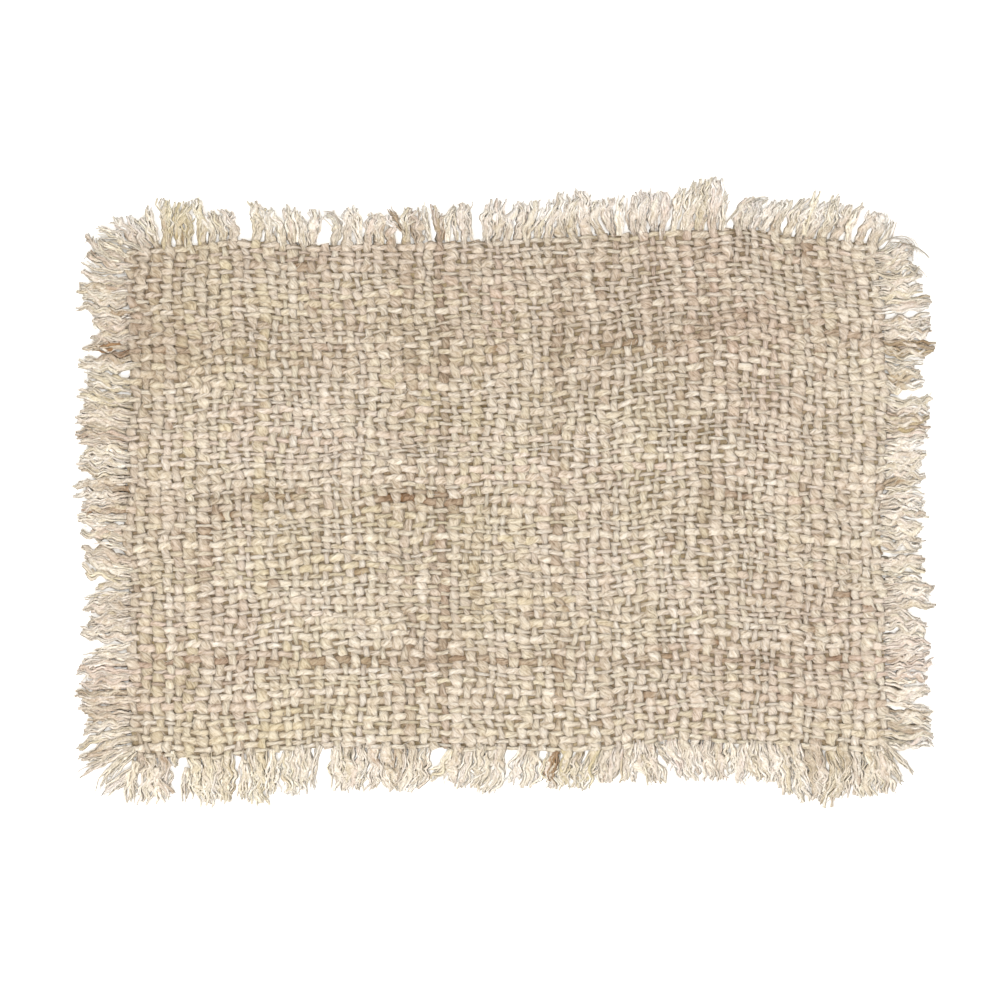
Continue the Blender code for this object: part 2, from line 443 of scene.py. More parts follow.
TOP_STRAYS = (
    Stray(132, 160, 145, 172, 156, 174, 0.55, 0.0),
    Stray(146, 159, 150, 168, 157, 174, 0.70, 0.0),
    Stray(154, 160, 160, 168, 164, 172, 0.45, 0.0),
    Stray(-100, 148, -99, 162, -108, 167, 0.80, 0.1),
    Stray(-210, 145, -223, 156, -235, 159, 1.70, 0.1),
    Stray(-214, 142, -227, 149, -241, 151, 1.30, 0.0),
    Stray(-228, 137, -241, 142, -246, 153, 1.50, 0.0),
    Stray(-222, 143, -236, 146, -251, 138, 0.80, 0.0),
    Stray(214, 145, 227, 148, 233, 162, 1.70, 0.0),
    Stray(211, 140, 225, 142, 236, 149, 1.30, 0.0),
    Stray(219, 146, 240, 151, 246, 136, 0.50, 0.0),
    Stray(228, 148, 244, 146, 254, 138, 0.20, 0.0),
    Stray(-226, 148, -233, 154, -242, 157, 2.00, 0.0),
    Stray(-206, 149, -210, 160, -211, 169, 2.00, 0.0),
    Stray(-118, 146, -119, 157, -121, 167, 1.60, 0.0),
    Stray(-85, 147, -88, 159, -91, 169, 2.60, 0.0),
    Stray(-61, 155, -65, 162, -69, 168, 1.20, 0.6),
    Stray(-53, 149, -55, 158, -56, 168, 1.20, 0.5),
    Stray(-34, 148, -34, 160, -30, 171, 2.20, 0.0),
    Stray(69, 152, 69, 164, 71, 175, 3.20, 0.0),
    Stray(100, 154, 103, 169, 107, 181, 3.00, 0.0),
    Stray(106, 155, 109, 170, 113, 184, 3.00, 0.0),
    Stray(129, 155, 130, 167, 132, 178, 1.60, 0.0),
    Stray(204, 148, 207, 160, 213, 171, 3.20, 0.0),
    Stray(178, 152, 182, 166, 186, 178, 2.20, 0.0),
    Stray(190, 151, 194, 165, 199, 177, 2.20, 0.0),
    Stray(-124, 148, -125, 160, -128, 171, 2.20, 0.0),
    Stray(-44, 149, -46, 160, -48, 171, 1.80, 0.0),
    Stray(-28, 149, -29, 158, -30, 168, 1.80, 0.0),
    Stray(-19, 149, -21, 158, -22, 168, 1.40, 0.0),
)
BOTTOM_STRAYS = (
    Stray(-221, -155, -233, -164, -242, -178, 1.70, 0.0),
    Stray(-221, -151, -238, -160, -253, -168, 1.70, 0.1),
    Stray(-219, -154, -229, -163, -239, -173, 2.00, 0.0),
    Stray(-217, -161, -223, -172, -225, -184, 2.20, 0.0),
    Stray(223, -151, 229, -162, 236, -173, 2.40, 0.1),
    Stray(225, -148, 234, -158, 243, -168, 1.80, 0.0),
    Stray(224, -146, 238, -150, 252, -151, 0.90, 0.0),
    Stray(-197, -154, -196, -160, -195, -165, 1.80, 0.0),
    Stray(31, -154, 28, -163, 24, -172, 2.40, 0.8),
    Stray(-138, -153, -138, -167, -139, -181, 3.20, 0.0),
    Stray(-109, -151, -114, -165, -115, -180, 1.80, 0.0),
    Stray(-32, -153, -37, -163, -44, -171, 2.60, 0.0),
    Stray(90, -149, 94, -156, 100, -163, 1.80, 0.0),
    Stray(133, -149, 134, -158, 132, -168, 3.20, 0.0),
    Stray(-206, -164, -206, -175, -206, -186, 2.80, 0.0),
    Stray(-189, -164, -190, -174, -190, -184, 2.00, 0.0),
    Stray(-154, -162, -154, -174, -154, -185, 2.20, 0.0),
    Stray(-220, -160, -221, -173, -221, -186, 2.20, 0.0),
    Stray(-85, -160, -86, -169, -86, -178, 2.40, 0.0),
    Stray(147, -158, 148, -165, 149, -173, 2.80, 0.0),
    Stray(82, -156, 84, -165, 86, -175, 2.20, 0.0),
    Stray(226, -156, 233, -166, 237, -174, 1.80, 0.0),
)
LEFT_STRAYS = (
    Stray(-222, 60, -236, 66, -243, 76, 0.70, 0.0),
    Stray(-222, 52, -240, 56, -250, 70, 0.60, 0.1),
    Stray(-226, 131, -240, 131, -250, 137, 1.50, 0.0),
    Stray(-226, 125, -241, 127, -251, 130, 1.20, 0.0),
    Stray(-223, 139, -232, 144, -241, 149, 2.20, 0.0),
    Stray(-224, 85, -240, 86, -252, 84, 1.50, 0.3),
    Stray(-228, 87, -236, 85, -244, 86, 2.40, 0.9),
    Stray(-226, -123, -238, -122, -248, -123, 1.00, 0.5),
    Stray(-224, -34, -236, -31, -244, -28, 1.80, 0.0),
    Stray(-223, -60, -238, -61, -250, -63, 1.20, 0.0),
    Stray(-222, -91, -236, -94, -250, -97, 2.00, 0.0),
)
RIGHT_STRAYS = (
    Stray(222, 137, 235, 137, 244, 144, 1.60, 0.0),
    Stray(221, 130, 236, 127, 246, 133, 1.60, 0.1),
    Stray(221, 134, 238, 136, 250, 127, 0.60, 0.0),
    Stray(222, 28, 238, 32, 249, 41, 0.50, 0.0),
    Stray(226, 79, 238, 77, 250, 77, 1.40, 0.0),
    Stray(226, 2, 238, 2, 248, 4, 1.30, 0.0),
    Stray(224, -35, 238, -36, 248, -34, 1.10, 0.0),
    Stray(224, -49, 238, -49, 250, -48, 1.10, 0.0),
    Stray(226, -113, 236, -114, 245, -114, 1.80, 0.0),
    Stray(226, -126, 241, -127, 254, -130, 1.60, 0.0),
)


def linear(hex_colour: str) -> Colour:
    """Turns an sRGB colour into the linear one that a shader takes.

    Args:
        hex_colour: The colour as "#RRGGBB".

    Returns:
        Linear red, green and blue from 0 to 1, and an alpha of 1.
    """
    channels = [int(hex_colour[start : start + 2], 16) / 255 for start in (1, 3, 5)]
    red, green, blue = [c / 12.92 if c <= 0.04045 else ((c + 0.055) / 1.055) ** 2.4 for c in channels]
    return red, green, blue, 1.0


def between(low: Array | float, high: Array | float, share: Array | float) -> Array | float:
    """The value that lies this share of the way from low to high."""
    return low + (high - low) * share


def eased(share: Array | float) -> Array:
    """A share held between 0 and 1, that starts and stops gently."""
    held = np.clip(share, 0.0, 1.0)
    return held * held * (3 - 2 * held)


def blurred(values: Array, across: float, along: float) -> Array:
    """Smooths a table of values.

    Args:
        values: A table with a row for each yarn and a column for each station along it.
        across: The spread of the smoothing from yarn to yarn, in rows.
        along: The spread of the smoothing along a yarn, in columns.

    Returns:
        The smoothed table.
    """
    across_waves = across * np.fft.fftfreq(values.shape[0])[:, None]
    along_waves = along * np.fft.rfftfreq(values.shape[1])[None, :]
    damping = np.exp(-2 * math.pi**2 * (across_waves**2 + along_waves**2))
    return np.fft.irfft2(np.fft.rfft2(values) * damping, s=values.shape)


def soft_noise(rng: np.random.Generator, shape: tuple[int, int], across: float, along: float) -> Array:
    """Smooth noise of no mean and a spread of 1.

    Args:
        rng: Where the random values come from.
        shape: The count of yarns and of stations along them.
        across: How many yarns a patch of noise spans.
        along: How many stations a patch of noise spans.

    Returns:
        A table of that shape.
    """
    noise = blurred(rng.standard_normal(shape), across, along)
    noise -= noise.mean()
    return noise / noise.std()


class Layer(NamedTuple):
    """Soft noise over a set of yarns: its strength, and how many yarns and steps along them a patch spans."""

    strength: float
    across: float
    along: float

    def drawn(self, rng: np.random.Generator, shape: tuple[int, int], stations: int = 1) -> Array:
        """Draws the noise as a table, where each step along a yarn has this many stations."""
        return self.strength * soft_noise(rng, shape, self.across, self.along * stations)


def running_sum(steps: Array) -> Array:
    """How far each row has come after each of its steps, from 0 before the first."""
    return np.concatenate((np.zeros((len(steps), 1)), np.cumsum(steps, axis=1)), axis=1)


def oval_distance(x: Array, y: Array, area: Swell | Thinning | Zone) -> Array:
    """The square of each point's distance from the middle of an oval, in radii of it."""
    return ((x / MM - area.x) / area.long_radius) ** 2 + ((y / MM - area.y) / area.short_radius) ** 2


def lumps_of(
    rng: np.random.Generator, shape: tuple[int, int], sides: int, share: float, ridge: float = 0.0
) -> Array:
    """The unevenness of spun yarn, point by point.

    Args:
        rng: Where the random values come from.
        shape: The count of tubes and of sections along them.
        sides: The count of points in a section.
        share: How far the points typically stand out or in, as a share of the radius.
        ridge: How far every second point stands in and the others out, as a share of the radius.

    Returns:
        A table for Tubes.lumps.
    """
    around = [soft_noise(rng, shape, 0.0, LUMP_LENGTH) for _ in range(sides)]
    lumps = share * np.stack(around, axis=-1).clip(-OUTLIER, OUTLIER)
    return lumps + ridge * np.where(np.arange(sides) % 2, -1.0, 1.0)


def add_node(
    tree: bpy.types.NodeTree,
    kind: str,
    settings: Mapping[str | int, object] | None = None,
    links: Mapping[str | int, bpy.types.NodeSocket] | None = None,
) -> bpy.types.Node:
    """Adds a shader node.

    Args:
        tree: The material's nodes.
        kind: The node's type.
        settings: Values for its inputs, by name or number, and for its own properties.
        links: The sockets that feed its inputs, by name or number.

    Returns:
        The new node.
    """
    node = tree.nodes.new(kind)
    for name, value in (settings or {}).items():
        if isinstance(name, int) or name in node.inputs:
            node.inputs[name].default_value = value
        else:
            setattr(node, name, value)
    for name, socket in (links or {}).items():
        tree.links.new(socket, node.inputs[name])
    return node


@dataclass(frozen=True)
class Side:
    """One side of the mat: its woven edge, and the locks of the fringe that leaves it."""

    name: str
    bows: tuple[Bow, ...]
    locks: tuple[Lock, ...]
    half_depth: float
    yarns: int
    strand_half_width: float
    upright: bool
    sign: int

    def edge(self, along: Array | float) -> Array:
        """Reads the woven edge smoothly from its bows.

        Args:
            along: Places along the side.

        Returns:
            How far from the middle of the mat the edge lies there.
        """
        bows = np.array(self.bows) * MM
        after = np.clip(np.searchsorted(bows[:, 0], along), 1, len(bows) - 1)
        low, high = bows[after - 1], bows[after]
        share = (along - low[..., 0]) / (high[..., 0] - low[..., 0])
        return self.half_depth + between(low[..., 1], high[..., 1], eased(share))

    def place(self, along: Array, out: Array, height: Array) -> Array:
        """Turns distances from this side's point of view into points.

        Args:
            along: How far along the side they lie.
            out: How far out from the middle of the mat.
            height: How far up from the surface.

        Returns:
            The points, with x, y and z in the last axis.
        """
        if self.upright:
            return np.stack((along, self.sign * out, height), axis=-1)
        return np.stack((self.sign * out, along, height), axis=-1)

    def outwards(self) -> Array:
        """The direction in the plane that points out of this side."""
        return np.array((0.0, self.sign) if self.upright else (self.sign, 0.0))


TOP = Side("top", TOP_BOWS, TOP_LOCKS, FIELD_WIDTH / 2, WARP_ENDS, WARP_STRAND_HALF_WIDTH, True, 1)
BOTTOM = replace(TOP, name="bottom", bows=BOTTOM_BOWS, locks=BOTTOM_LOCKS, sign=-1)
LEFT = Side("left", LEFT_BOWS, LEFT_LOCKS, FIELD_LENGTH / 2, WEFT_PICKS, WEFT_STRAND_HALF_WIDTH, False, -1)
RIGHT = replace(LEFT, name="right", bows=RIGHT_BOWS, locks=RIGHT_LOCKS, sign=1)


def lift(x: Array, y: Array) -> Array:
    """Finds how far the cloth's underside rises off the surface.

    Args:
        x: Places along the mat's length.
        y: Places along its width.

    Returns:
        The rise at each of them.
    """
    height = np.zeros(np.broadcast(x, y).shape)
    for ripple in RIPPLES:
        turn = math.radians(ripple.turn_degrees)
        east = x / MM - ripple.x
        north = y / MM - ripple.y
        length_share = (east * math.cos(turn) + north * math.sin(turn)) / ripple.long_radius
        width_share = (north * math.cos(turn) - east * math.sin(turn)) / ripple.short_radius
        height += ripple.rise * MM * np.maximum(0.0, 1 - length_share**2 - width_share**2) ** 2
    return height


def lay(across: Array, up: Array, height: Array) -> Array:
    """Lays points of the weave on the surface.

    Args:
        across: Their places along the mat's length, from 0 at the left edge to 1 at the right.
        up: Their places along its width, from 0 at the lower edge to 1 at the upper.
        height: How far they stand above the cloth's underside.

    Returns:
        The points, with x, y and z in the last axis.
    """
    x = between(-FIELD_LENGTH / 2, FIELD_LENGTH / 2, across)
    y = between(-FIELD_WIDTH / 2, FIELD_WIDTH / 2, up)
    for _ in range(SETTLING_ROUNDS):
        x = between(-LEFT.edge(y), RIGHT.edge(y), across)
        y = between(-BOTTOM.edge(x), TOP.edge(x), up)
    held_y = eased(np.minimum(up, 1 - up) / SWELL_FADE)
    held_x = eased(np.minimum(across, 1 - across) / SWELL_FADE)
    moved_x = np.zeros_like(x)
    moved_y = np.zeros_like(y)
    for swell in SWELLS:
        moved_y += swell.push * MM * np.exp(-oval_distance(x, y, swell) / 2)
    for sway in SWAYS:
        wave = np.sin(2 * math.pi * (x / MM / sway.length_x + y / MM / sway.length_y) + sway.start)
        moved_x += sway.sideways * MM * wave
        moved_y += sway.upwards * MM * wave
    x = x + moved_x * held_x
    y = y + moved_y * held_y
    return np.stack((x, y, height + lift(x, y)), axis=-1)


@dataclass
class Tubes:
    """Tubes with equal counts of sections: flattened yarns, plies or single fibres.

    Every table has a row for each tube and a column for each section. The colour tables are read by the
    finish: tone from dark to pale, hue from rosy to straw, and bark for brown. The lumps table has a value
    for each point of each section: the share by which the yarn stands out or in there. The turns table says
    how far the twist has carried a section's points round. A squareness of 1 gives oval sections, and less
    gives flatter ones with fuller corners. The over table runs from 1 where a yarn lies over another to -1
    where it lies under one. Painted shade browns the flanks and what another yarn covers.
    """

    centres: Array
    half_widths: Array
    half_heights: Array
    rolls: Array
    tone: Array
    hue: Array
    bark: Array
    sides: int
    lumps: Array | None = None
    turns: Array | None = None
    squareness: float = 1.0
    bake_columns: int = 1
    twist_length: float = 9 * MM
    fibre_stretch: float = 0.30
    # Painted shade: how much the flanks, and the parts that another yarn covers, are browned.
    painted_flank_shade: float = 0.0
    painted_covered_shade: float = 0.0
    over: Array | None = None

    def bearings(self) -> tuple[Array, Array]:
        """Finds how each tube heads at each section.

        Returns:
            The directions sideways and upwards of it.
        """
        forward = np.gradient(self.centres, axis=1)
        forward /= np.linalg.norm(forward, axis=-1, keepdims=True)
        sideways = np.cross((0.0, 0.0, 1.0), forward)
        sideways /= np.linalg.norm(sideways, axis=-1, keepdims=True)
        return sideways, np.cross(forward, sideways)

    def travelled(self) -> Array:
        """How far along its tube each section lies."""
        return running_sum(np.linalg.norm(np.diff(self.centres, axis=1), axis=-1))

    def cut(self, first: int, last: int) -> "Tubes":
        """Takes the tubes from the first of these numbers up to the last, which is left."""
        tables = {name: table[first:last] for name, table in vars(self).items() if isinstance(table, Array)}
        return replace(self, **tables)

    def rings(self) -> Array:
        """Places the points of every section, pressed flat where they rest on the surface.

        Returns:
            The points, as tubes by sections by sides by xyz.
        """
        sideways, upwards = self.bearings()
        turn = 2 * math.pi * np.arange(self.sides) / self.sides
        if self.turns is not None:
            turn = turn + self.turns[..., None]
        lumps = 1.0 if self.lumps is None else 1.0 + self.lumps
        level, upright = np.cos(turn), np.sin(turn)
        level = np.sign(level) * np.abs(level) ** self.squareness
        upright = np.sign(upright) * np.abs(upright) ** self.squareness
        flat = self.half_widths[..., None] * level * lumps
        high = self.half_heights[..., None] * upright * lumps
        roll = self.rolls[..., None]
        out = flat * np.cos(roll) - high * np.sin(roll)
        rise = flat * np.sin(roll) + high * np.cos(roll)
        points = (
            self.centres[:, :, None]
            + out[..., None] * sideways[:, :, None]
            + rise[..., None] * upwards[:, :, None]
        )
        points[..., 2] = np.maximum(points[..., 2], 0.0)
        return points

    def painted_shade(self, rings: Array) -> Array:
        """How much painted shade browns each point: on the flanks, and where another yarn lies on it.

        This is shade painted into the colour: the flanks and the covered parts are browned where the weave
        shades them, and the crowns of both faces stay pale.

        Args:
            rings: The points of every section.

        Returns:
            The share of painted shade to add to the bark at each point.
        """
        rise = (rings[..., 2] - self.centres[..., None, 2]) / self.half_heights[..., None]
        # Painted shade, browning the flanks most and the crowns of both faces least.
        painted_shade = self.painted_flank_shade * eased(0.5 - 0.5 * np.abs(rise))
        if self.over is not None:
            over = self.over[..., None]
            covered = between(eased(0.5 + over), eased(0.5 - over), eased(0.5 + rise))
            painted_shade = painted_shade + self.painted_covered_shade * covered
        return painted_shade

    def faces(self) -> tuple[Array, Array]:
        """Joins the points into a wall and two caps for each tube.

        Returns:
            The corners of the wall's quads, and those of the caps, as numbers of points.
        """
        tubes, sections = self.centres.shape[:2]
        numbers = np.arange(tubes * sections * self.sides).reshape(tubes, sections, self.sides)
        turned = np.roll(numbers, -1, axis=2)
        walls = np.stack((numbers[:, :-1], turned[:, :-1], turned[:, 1:], numbers[:, 1:]), axis=-1)
        caps = np.concatenate((numbers[:, 0, ::-1], numbers[:, -1]))
        return walls.reshape(-1, 4), caps

    def bake_places(self) -> tuple[Array, Array]:
        """Spreads the tubes out on the flat map, each in a cell of its own.

        Returns:
            The places of the corners of the walls, and those of the caps.
        """
        tubes, sections = self.centres.shape[:2]
        rows = math.ceil(tubes / self.bake_columns)
        column, row = np.divmod(np.arange(tubes), rows)
        length = between(*WALL_LENGTH, np.arange(sections) / (sections - 1))
        girth = between(*WALL_GIRTH, np.arange(self.sides + 1) / self.sides)
        u = ((column[:, None] + length) / self.bake_columns)[:, :, None]
        v = ((row[:, None] + girth) / rows)[:, None, :]
        u, v = np.broadcast_arrays(u, v)
        grid = np.stack((u, v), axis=-1)
        walls = np.stack((grid[:, :-1, :-1], grid[:, :-1, 1:], grid[:, 1:, 1:], grid[:, 1:, :-1]), axis=-2)
        turn = 2 * math.pi * np.arange(self.sides) / self.sides
        caps = []
        for middle, order in zip(CAP_MIDDLES, (-1, 1)):
            cap_u = (column[:, None] + middle + CAP_LENGTH * np.cos(turn[::order])) / self.bake_columns
            cap_v = (row[:, None] + 0.5 + CAP_GIRTH * np.sin(turn[::order])) / rows
            caps.append(np.stack((cap_u, cap_v), axis=-1))
        return walls.reshape(-1, 2), np.concatenate(caps).reshape(-1, 2)

    def fibre_places(self) -> Array:
        """Places the points for the pattern of fibres, which runs along each yarn and turns with its twist.

        Returns:
            Each point's place round its own yarn and along it, in millimetres.
        """
        travelled = self.travelled()
        turn = 2 * math.pi * np.arange(self.sides) / self.sides
        if self.turns is None:
            turn = turn + 2 * math.pi * travelled[..., None] / self.twist_length
        turn = np.broadcast_to(turn, (*travelled.shape, self.sides))
        radius = self.half_widths.mean() / MM
        along = np.broadcast_to(travelled[..., None] / MM * self.fibre_stretch, turn.shape)
        apart = PATTERN_STEP * np.arange(len(travelled))[:, None, None]
        return np.stack((radius * np.cos(turn) + apart, radius * np.sin(turn), along), axis=-1)

    def tables(self, rings: Array) -> dict[str, Array]:
        """Gathers what the finish reads at each point.

        Args:
            rings: The points of every section.

        Returns:
            The tables of tone, hue, bark and fibre, by name.
        """
        tables = {
            "tone": self.tone[..., None],
            "hue": self.hue[..., None],
            # The bark table adds the painted shade to the yarn's own bark.
            "bark": np.clip(self.bark[..., None] + self.painted_shade(rings), 0.0, 1.0),
        }
        tables = {name: np.broadcast_to(table, rings.shape[:3]).reshape(-1) for name, table in tables.items()}
        return tables | {"fibre": self.fibre_places().reshape(-1, 3)}


@dataclass(frozen=True)
class YarnFinish:
    """Hand-spun bast yarn, hemp or jute, unbleached and undyed: dull, dry fibre with no gloss.

    Retting leaves the fibre uneven, so cream, beige, straw and brown follow each other along one yarn.
    """

    name: str
    slot: str
    tones: tuple[tuple[float, str], ...]
    rosy: str
    straw: str
    bark: str
    roughness: float = 0.88
    sheen: float = 0.12
    sheen_tint: str = "#EBDCC3"
    fibre_width: float = 1.0 * MM
    fibre_contrast: float = 0.34
    relief_depth: float = 2.6 * MM

    def material(self) -> bpy.types.Material:
        """Makes the node material: colour from the yarn's own tables, broken up by its fibres.

        Returns:
            The new material.
        """
        material = bpy.data.materials.new(self.name)
        material.use_nodes = True
        tree = material.node_tree
        tree.nodes.clear()
        tone, hue, bark, place = (
            add_node(tree, "ShaderNodeAttribute", {"attribute_name": table})
            for table in ("tone", "hue", "bark", "fibre")
        )

        # Single fibres are too fine for the picture, so the pattern draws bundles of them.
        fibres = add_node(
            tree,
            "ShaderNodeTexNoise",
            {"Scale": MM / self.fibre_width, "Detail": 3.0, "Roughness": 0.65},
            {"Vector": place.outputs["Vector"]},
        )
        varied = add_node(
            tree,
            "ShaderNodeMapRange",
            {"From Min": 0.3, "From Max": 0.7, "To Min": -self.fibre_contrast, "To Max": self.fibre_contrast},
            {"Value": fibres.outputs["Fac"]},
        )
        values = {0: tone.outputs["Fac"], 1: varied.outputs["Result"]}
        shade = add_node(tree, "ShaderNodeMath", {"operation": "ADD"}, values)
        ramp = add_node(tree, "ShaderNodeValToRGB", links={"Fac": shade.outputs["Value"]})
        stops = ramp.color_ramp.elements
        while len(stops) < len(self.tones):
            stops.new(0.5)
        for stop, (position, colour) in zip(stops, self.tones):
            stop.position = position
            stop.color = linear(colour)

        # A hue of -1 is fully rosy and one of 1 fully straw. The bark table browns the yarn where bark
        # clings, and also carries painted shade on the flanks and covered parts.
        tints = []
        for full, tint in ((-1.0, self.rosy), (1.0, self.straw)):
            share = add_node(
                tree,
                "ShaderNodeMapRange",
                {"From Min": 0.0, "From Max": full, "To Min": 0.0, "To Max": 1.0},
                {"Value": hue.outputs["Fac"]},
            )
            tints.append((share.outputs["Result"], tint))
        tints.append((bark.outputs["Fac"], self.bark))
        colour = ramp.outputs["Color"]
        for factor, tint in tints:
            tinted = add_node(
                tree,
                "ShaderNodeMix",
                {"data_type": "RGBA", "blend_type": "MULTIPLY", 7: linear(tint)},
                {0: factor, 6: colour},
            )
            colour = tinted.outputs[2]
        relief = add_node(
            tree,
            "ShaderNodeBump",
            {"Strength": 1.0, "Distance": self.relief_depth},
            {"Height": fibres.outputs["Fac"]},
        )
        shader = add_node(
            tree,
            "ShaderNodeBsdfPrincipled",
            {
                "Roughness": self.roughness,
                "Metallic": 0.0,
                "IOR": 1.5,
                "Specular IOR Level": 0.25,
                "Sheen Weight": self.sheen,
                "Sheen Roughness": 0.5,
                "Sheen Tint": linear(self.sheen_tint),
            },
            {"Base Color": colour, "Normal": relief.outputs["Normal"]},
        )
        add_node(tree, "ShaderNodeOutputMaterial", links={"Surface": shader.outputs["BSDF"]})
        return material


@dataclass(frozen=True)
class PaperFinish:
    """Matt white card, as a studio sweep is made of: even and without gloss."""

    name: str = "matt white card"
    colour: str = "#FAF7F2"
    mottle_colour: str = "#F6F3EE"
    roughness: float = 0.95

    def material(self) -> bpy.types.Material:
        """Makes the node material, with the faint mottle of card.

        Returns:
            The new material.
        """
        material = bpy.data.materials.new(self.name)
        material.use_nodes = True
        tree = material.node_tree
        tree.nodes.clear()
        mottle = add_node(tree, "ShaderNodeTexNoise", {"Scale": 9.0, "Detail": 2.0})
        tint = add_node(
            tree,
            "ShaderNodeMix",
            {"data_type": "RGBA", 6: linear(self.colour), 7: linear(self.mottle_colour)},
            {0: mottle.outputs["Fac"]},
        )
        shader = add_node(
            tree,
            "ShaderNodeBsdfPrincipled",
            {"Roughness": self.roughness, "Specular IOR Level": 0.1},
            {"Base Color": tint.outputs[2]},
        )
        add_node(tree, "ShaderNodeOutputMaterial", links={"Surface": shader.outputs["BSDF"]})
        return material


CLOTH_FINISH = YarnFinish(
    name="hand-spun bast yarn, woven",
    slot="cloth",
    tones=(
        (0.00, "#83745F"),
        (0.25, "#B0A08B"),
        (0.50, "#CFC2AF"),
        (0.75, "#DDD3C4"),
        (1.00, "#E9E3D9"),
    ),
    rosy="#F0E0DE",
    straw="#EFEBCF",
    bark="#A07E5A",
)
FRINGE_FINISH = replace(
    CLOTH_FINISH,
    name="hand-spun bast yarn, ravelled",
    slot="fringe",
    tones=(
        (0.00, "#87745B"),
        (0.25, "#B6A48A"),
        (0.50, "#D5C9B7"),
        (0.75, "#E8DFD2"),
        (1.00, "#F6F2EC"),
    ),
    sheen=0.20,
    fibre_contrast=0.26,
    relief_depth=2.0 * MM,
)
# The dark sheet between the yarns: painted shade for the gaps of the weave, standing also for the matted
# fibre in them.
GAP_SHADE_FINISH = YarnFinish(
    name="matted bast fibre",
    slot="cloth",
    tones=((0.00, "#8C7A60"), (1.00, "#B8A688")),
    rosy="#F3DDD2",
    straw="#F2EBC4",
    bark="#A9855A",
    sheen=0.0,
)


def make_piece(
    name: str,
    points: Array,
    faces: list[list[int]],
    tables: Mapping[str, Array],
    corners: Array,
    material: bpy.types.Material,
) -> bpy.types.Object:
    """Makes one piece of a mesh, its flat map and the tables that its finish reads.

    Args:
        name: The piece's name.
        points: The points of the mesh.
        faces: The corners of each face, as numbers of points.
        tables: What the finish reads at each point, by name: one value or three.
        corners: Where each corner of each face lies on the flat map.
        material: The finish.

    Returns:
        The new object, linked to the scene.
    """
    mesh = bpy.data.meshes.new(name)
    mesh.from_pydata(points.tolist(), [], faces)
    for table, values in tables.items():
        single = values.size == len(points)
        attribute = mesh.attributes.new(table, "FLOAT" if single else "FLOAT_VECTOR", "POINT")
        attribute.data.foreach_set("value" if single else "vector", values.astype(np.float32).reshape(-1))
    bake_map = mesh.uv_layers.new(name=BAKE_MAP)
    bake_map.data.foreach_set("uv", corners.astype(np.float32).reshape(-1))
    mesh.materials.append(material)
    mesh.shade_smooth()
    piece = bpy.data.objects.new(name, mesh)
    bpy.context.scene.collection.objects.link(piece)
    return piece


def tube_piece(name: str, bundles: Sequence[Tubes], material: bpy.types.Material) -> bpy.types.Object:
    """Joins tubes into one piece.

    Args:
        name: The piece's name.
        bundles: The tubes, in bundles of equal sections and sides. Each gets a band of the flat map.
        material: The finish, which reads the tables of the tubes.

    Returns:
        The new object, linked to the scene.
    """
    points: list[Array] = []
    faces: list[list[int]] = []
    corners: list[Array] = []
    tables: list[dict[str, Array]] = []
    first = 0
    girths = [bundle.centres.shape[0] / bundle.bake_columns for bundle in bundles]
    bands = np.concatenate(((0.0,), np.cumsum(girths))) / sum(girths)
    for bundle, low, high in zip(bundles, bands, bands[1:]):
        rings = bundle.rings()
        walls, caps = bundle.faces()
        faces += (walls + first).tolist() + (caps + first).tolist()
        points.append(rings.reshape(-1, 3))
        first += len(points[-1])
        for part in bundle.bake_places():
            corners.append(np.stack((part[:, 0], between(low, high, part[:, 1])), axis=-1))
        tables.append(bundle.tables(rings))
    joined = {table: np.concatenate([part[table] for part in tables]) for table in tables[0]}
    return make_piece(name, np.concatenate(points), faces, joined, np.concatenate(corners), material)


def settle(piece: bpy.types.Object, slot: str, *nodes: str) -> None:
    """Rides a piece on the mat, hides the solids that it stands for, and reports it with its slot.

    Args:
        piece: The finished piece.
        slot: The material slot to report.
        *nodes: The CAD nodes that it replaces.
    """
    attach(piece, BODY)
    if nodes:
        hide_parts(*nodes)
    triangles = sum(len(face.vertices) - 2 for face in piece.data.polygons)
    LOG.info("%s: %d triangles, slot %s", piece.name, triangles, slot)


def streak_share(x: Array, y: Array, streak: Streak) -> Array:
    """How strongly each point takes a streak's colour, from 0 to 1.

    Args:
        x: The points' places along the mat's length.
        y: The points' places along its width.
        streak: The stretch of coloured yarn.

    Returns:
        The share for each point, fading over the streak's width and its two ends.
    """
    start = np.array((streak.x_from, streak.y_from)) * MM
    run = np.array((streak.x_to, streak.y_to)) * MM - start
    length = np.linalg.norm(run)
    direction = run / length
    along = (x - start[0]) * direction[0] + (y - start[1]) * direction[1]
    aside = (x - start[0]) * direction[1] - (y - start[1]) * direction[0]
    begun = eased((along + STREAK_END) / (2 * STREAK_END))
    left = eased((length + STREAK_END - along) / (2 * STREAK_END))
    return begun * left * np.exp(-((aside / (streak.half_width * MM)) ** 2))


def fullness(x: Array, y: Array) -> Array:
    """Finds how thick the yarns are, which is less in the loose areas.

    Args:
        x: Places along the mat's length.
        y: Places along its width.

    Returns:
        The share of its width that a yarn has at each of them.
    """
    share = np.ones_like(x)
    for area in THINNINGS:
        share -= area.share * np.exp(-oval_distance(x, y, area))
    return share


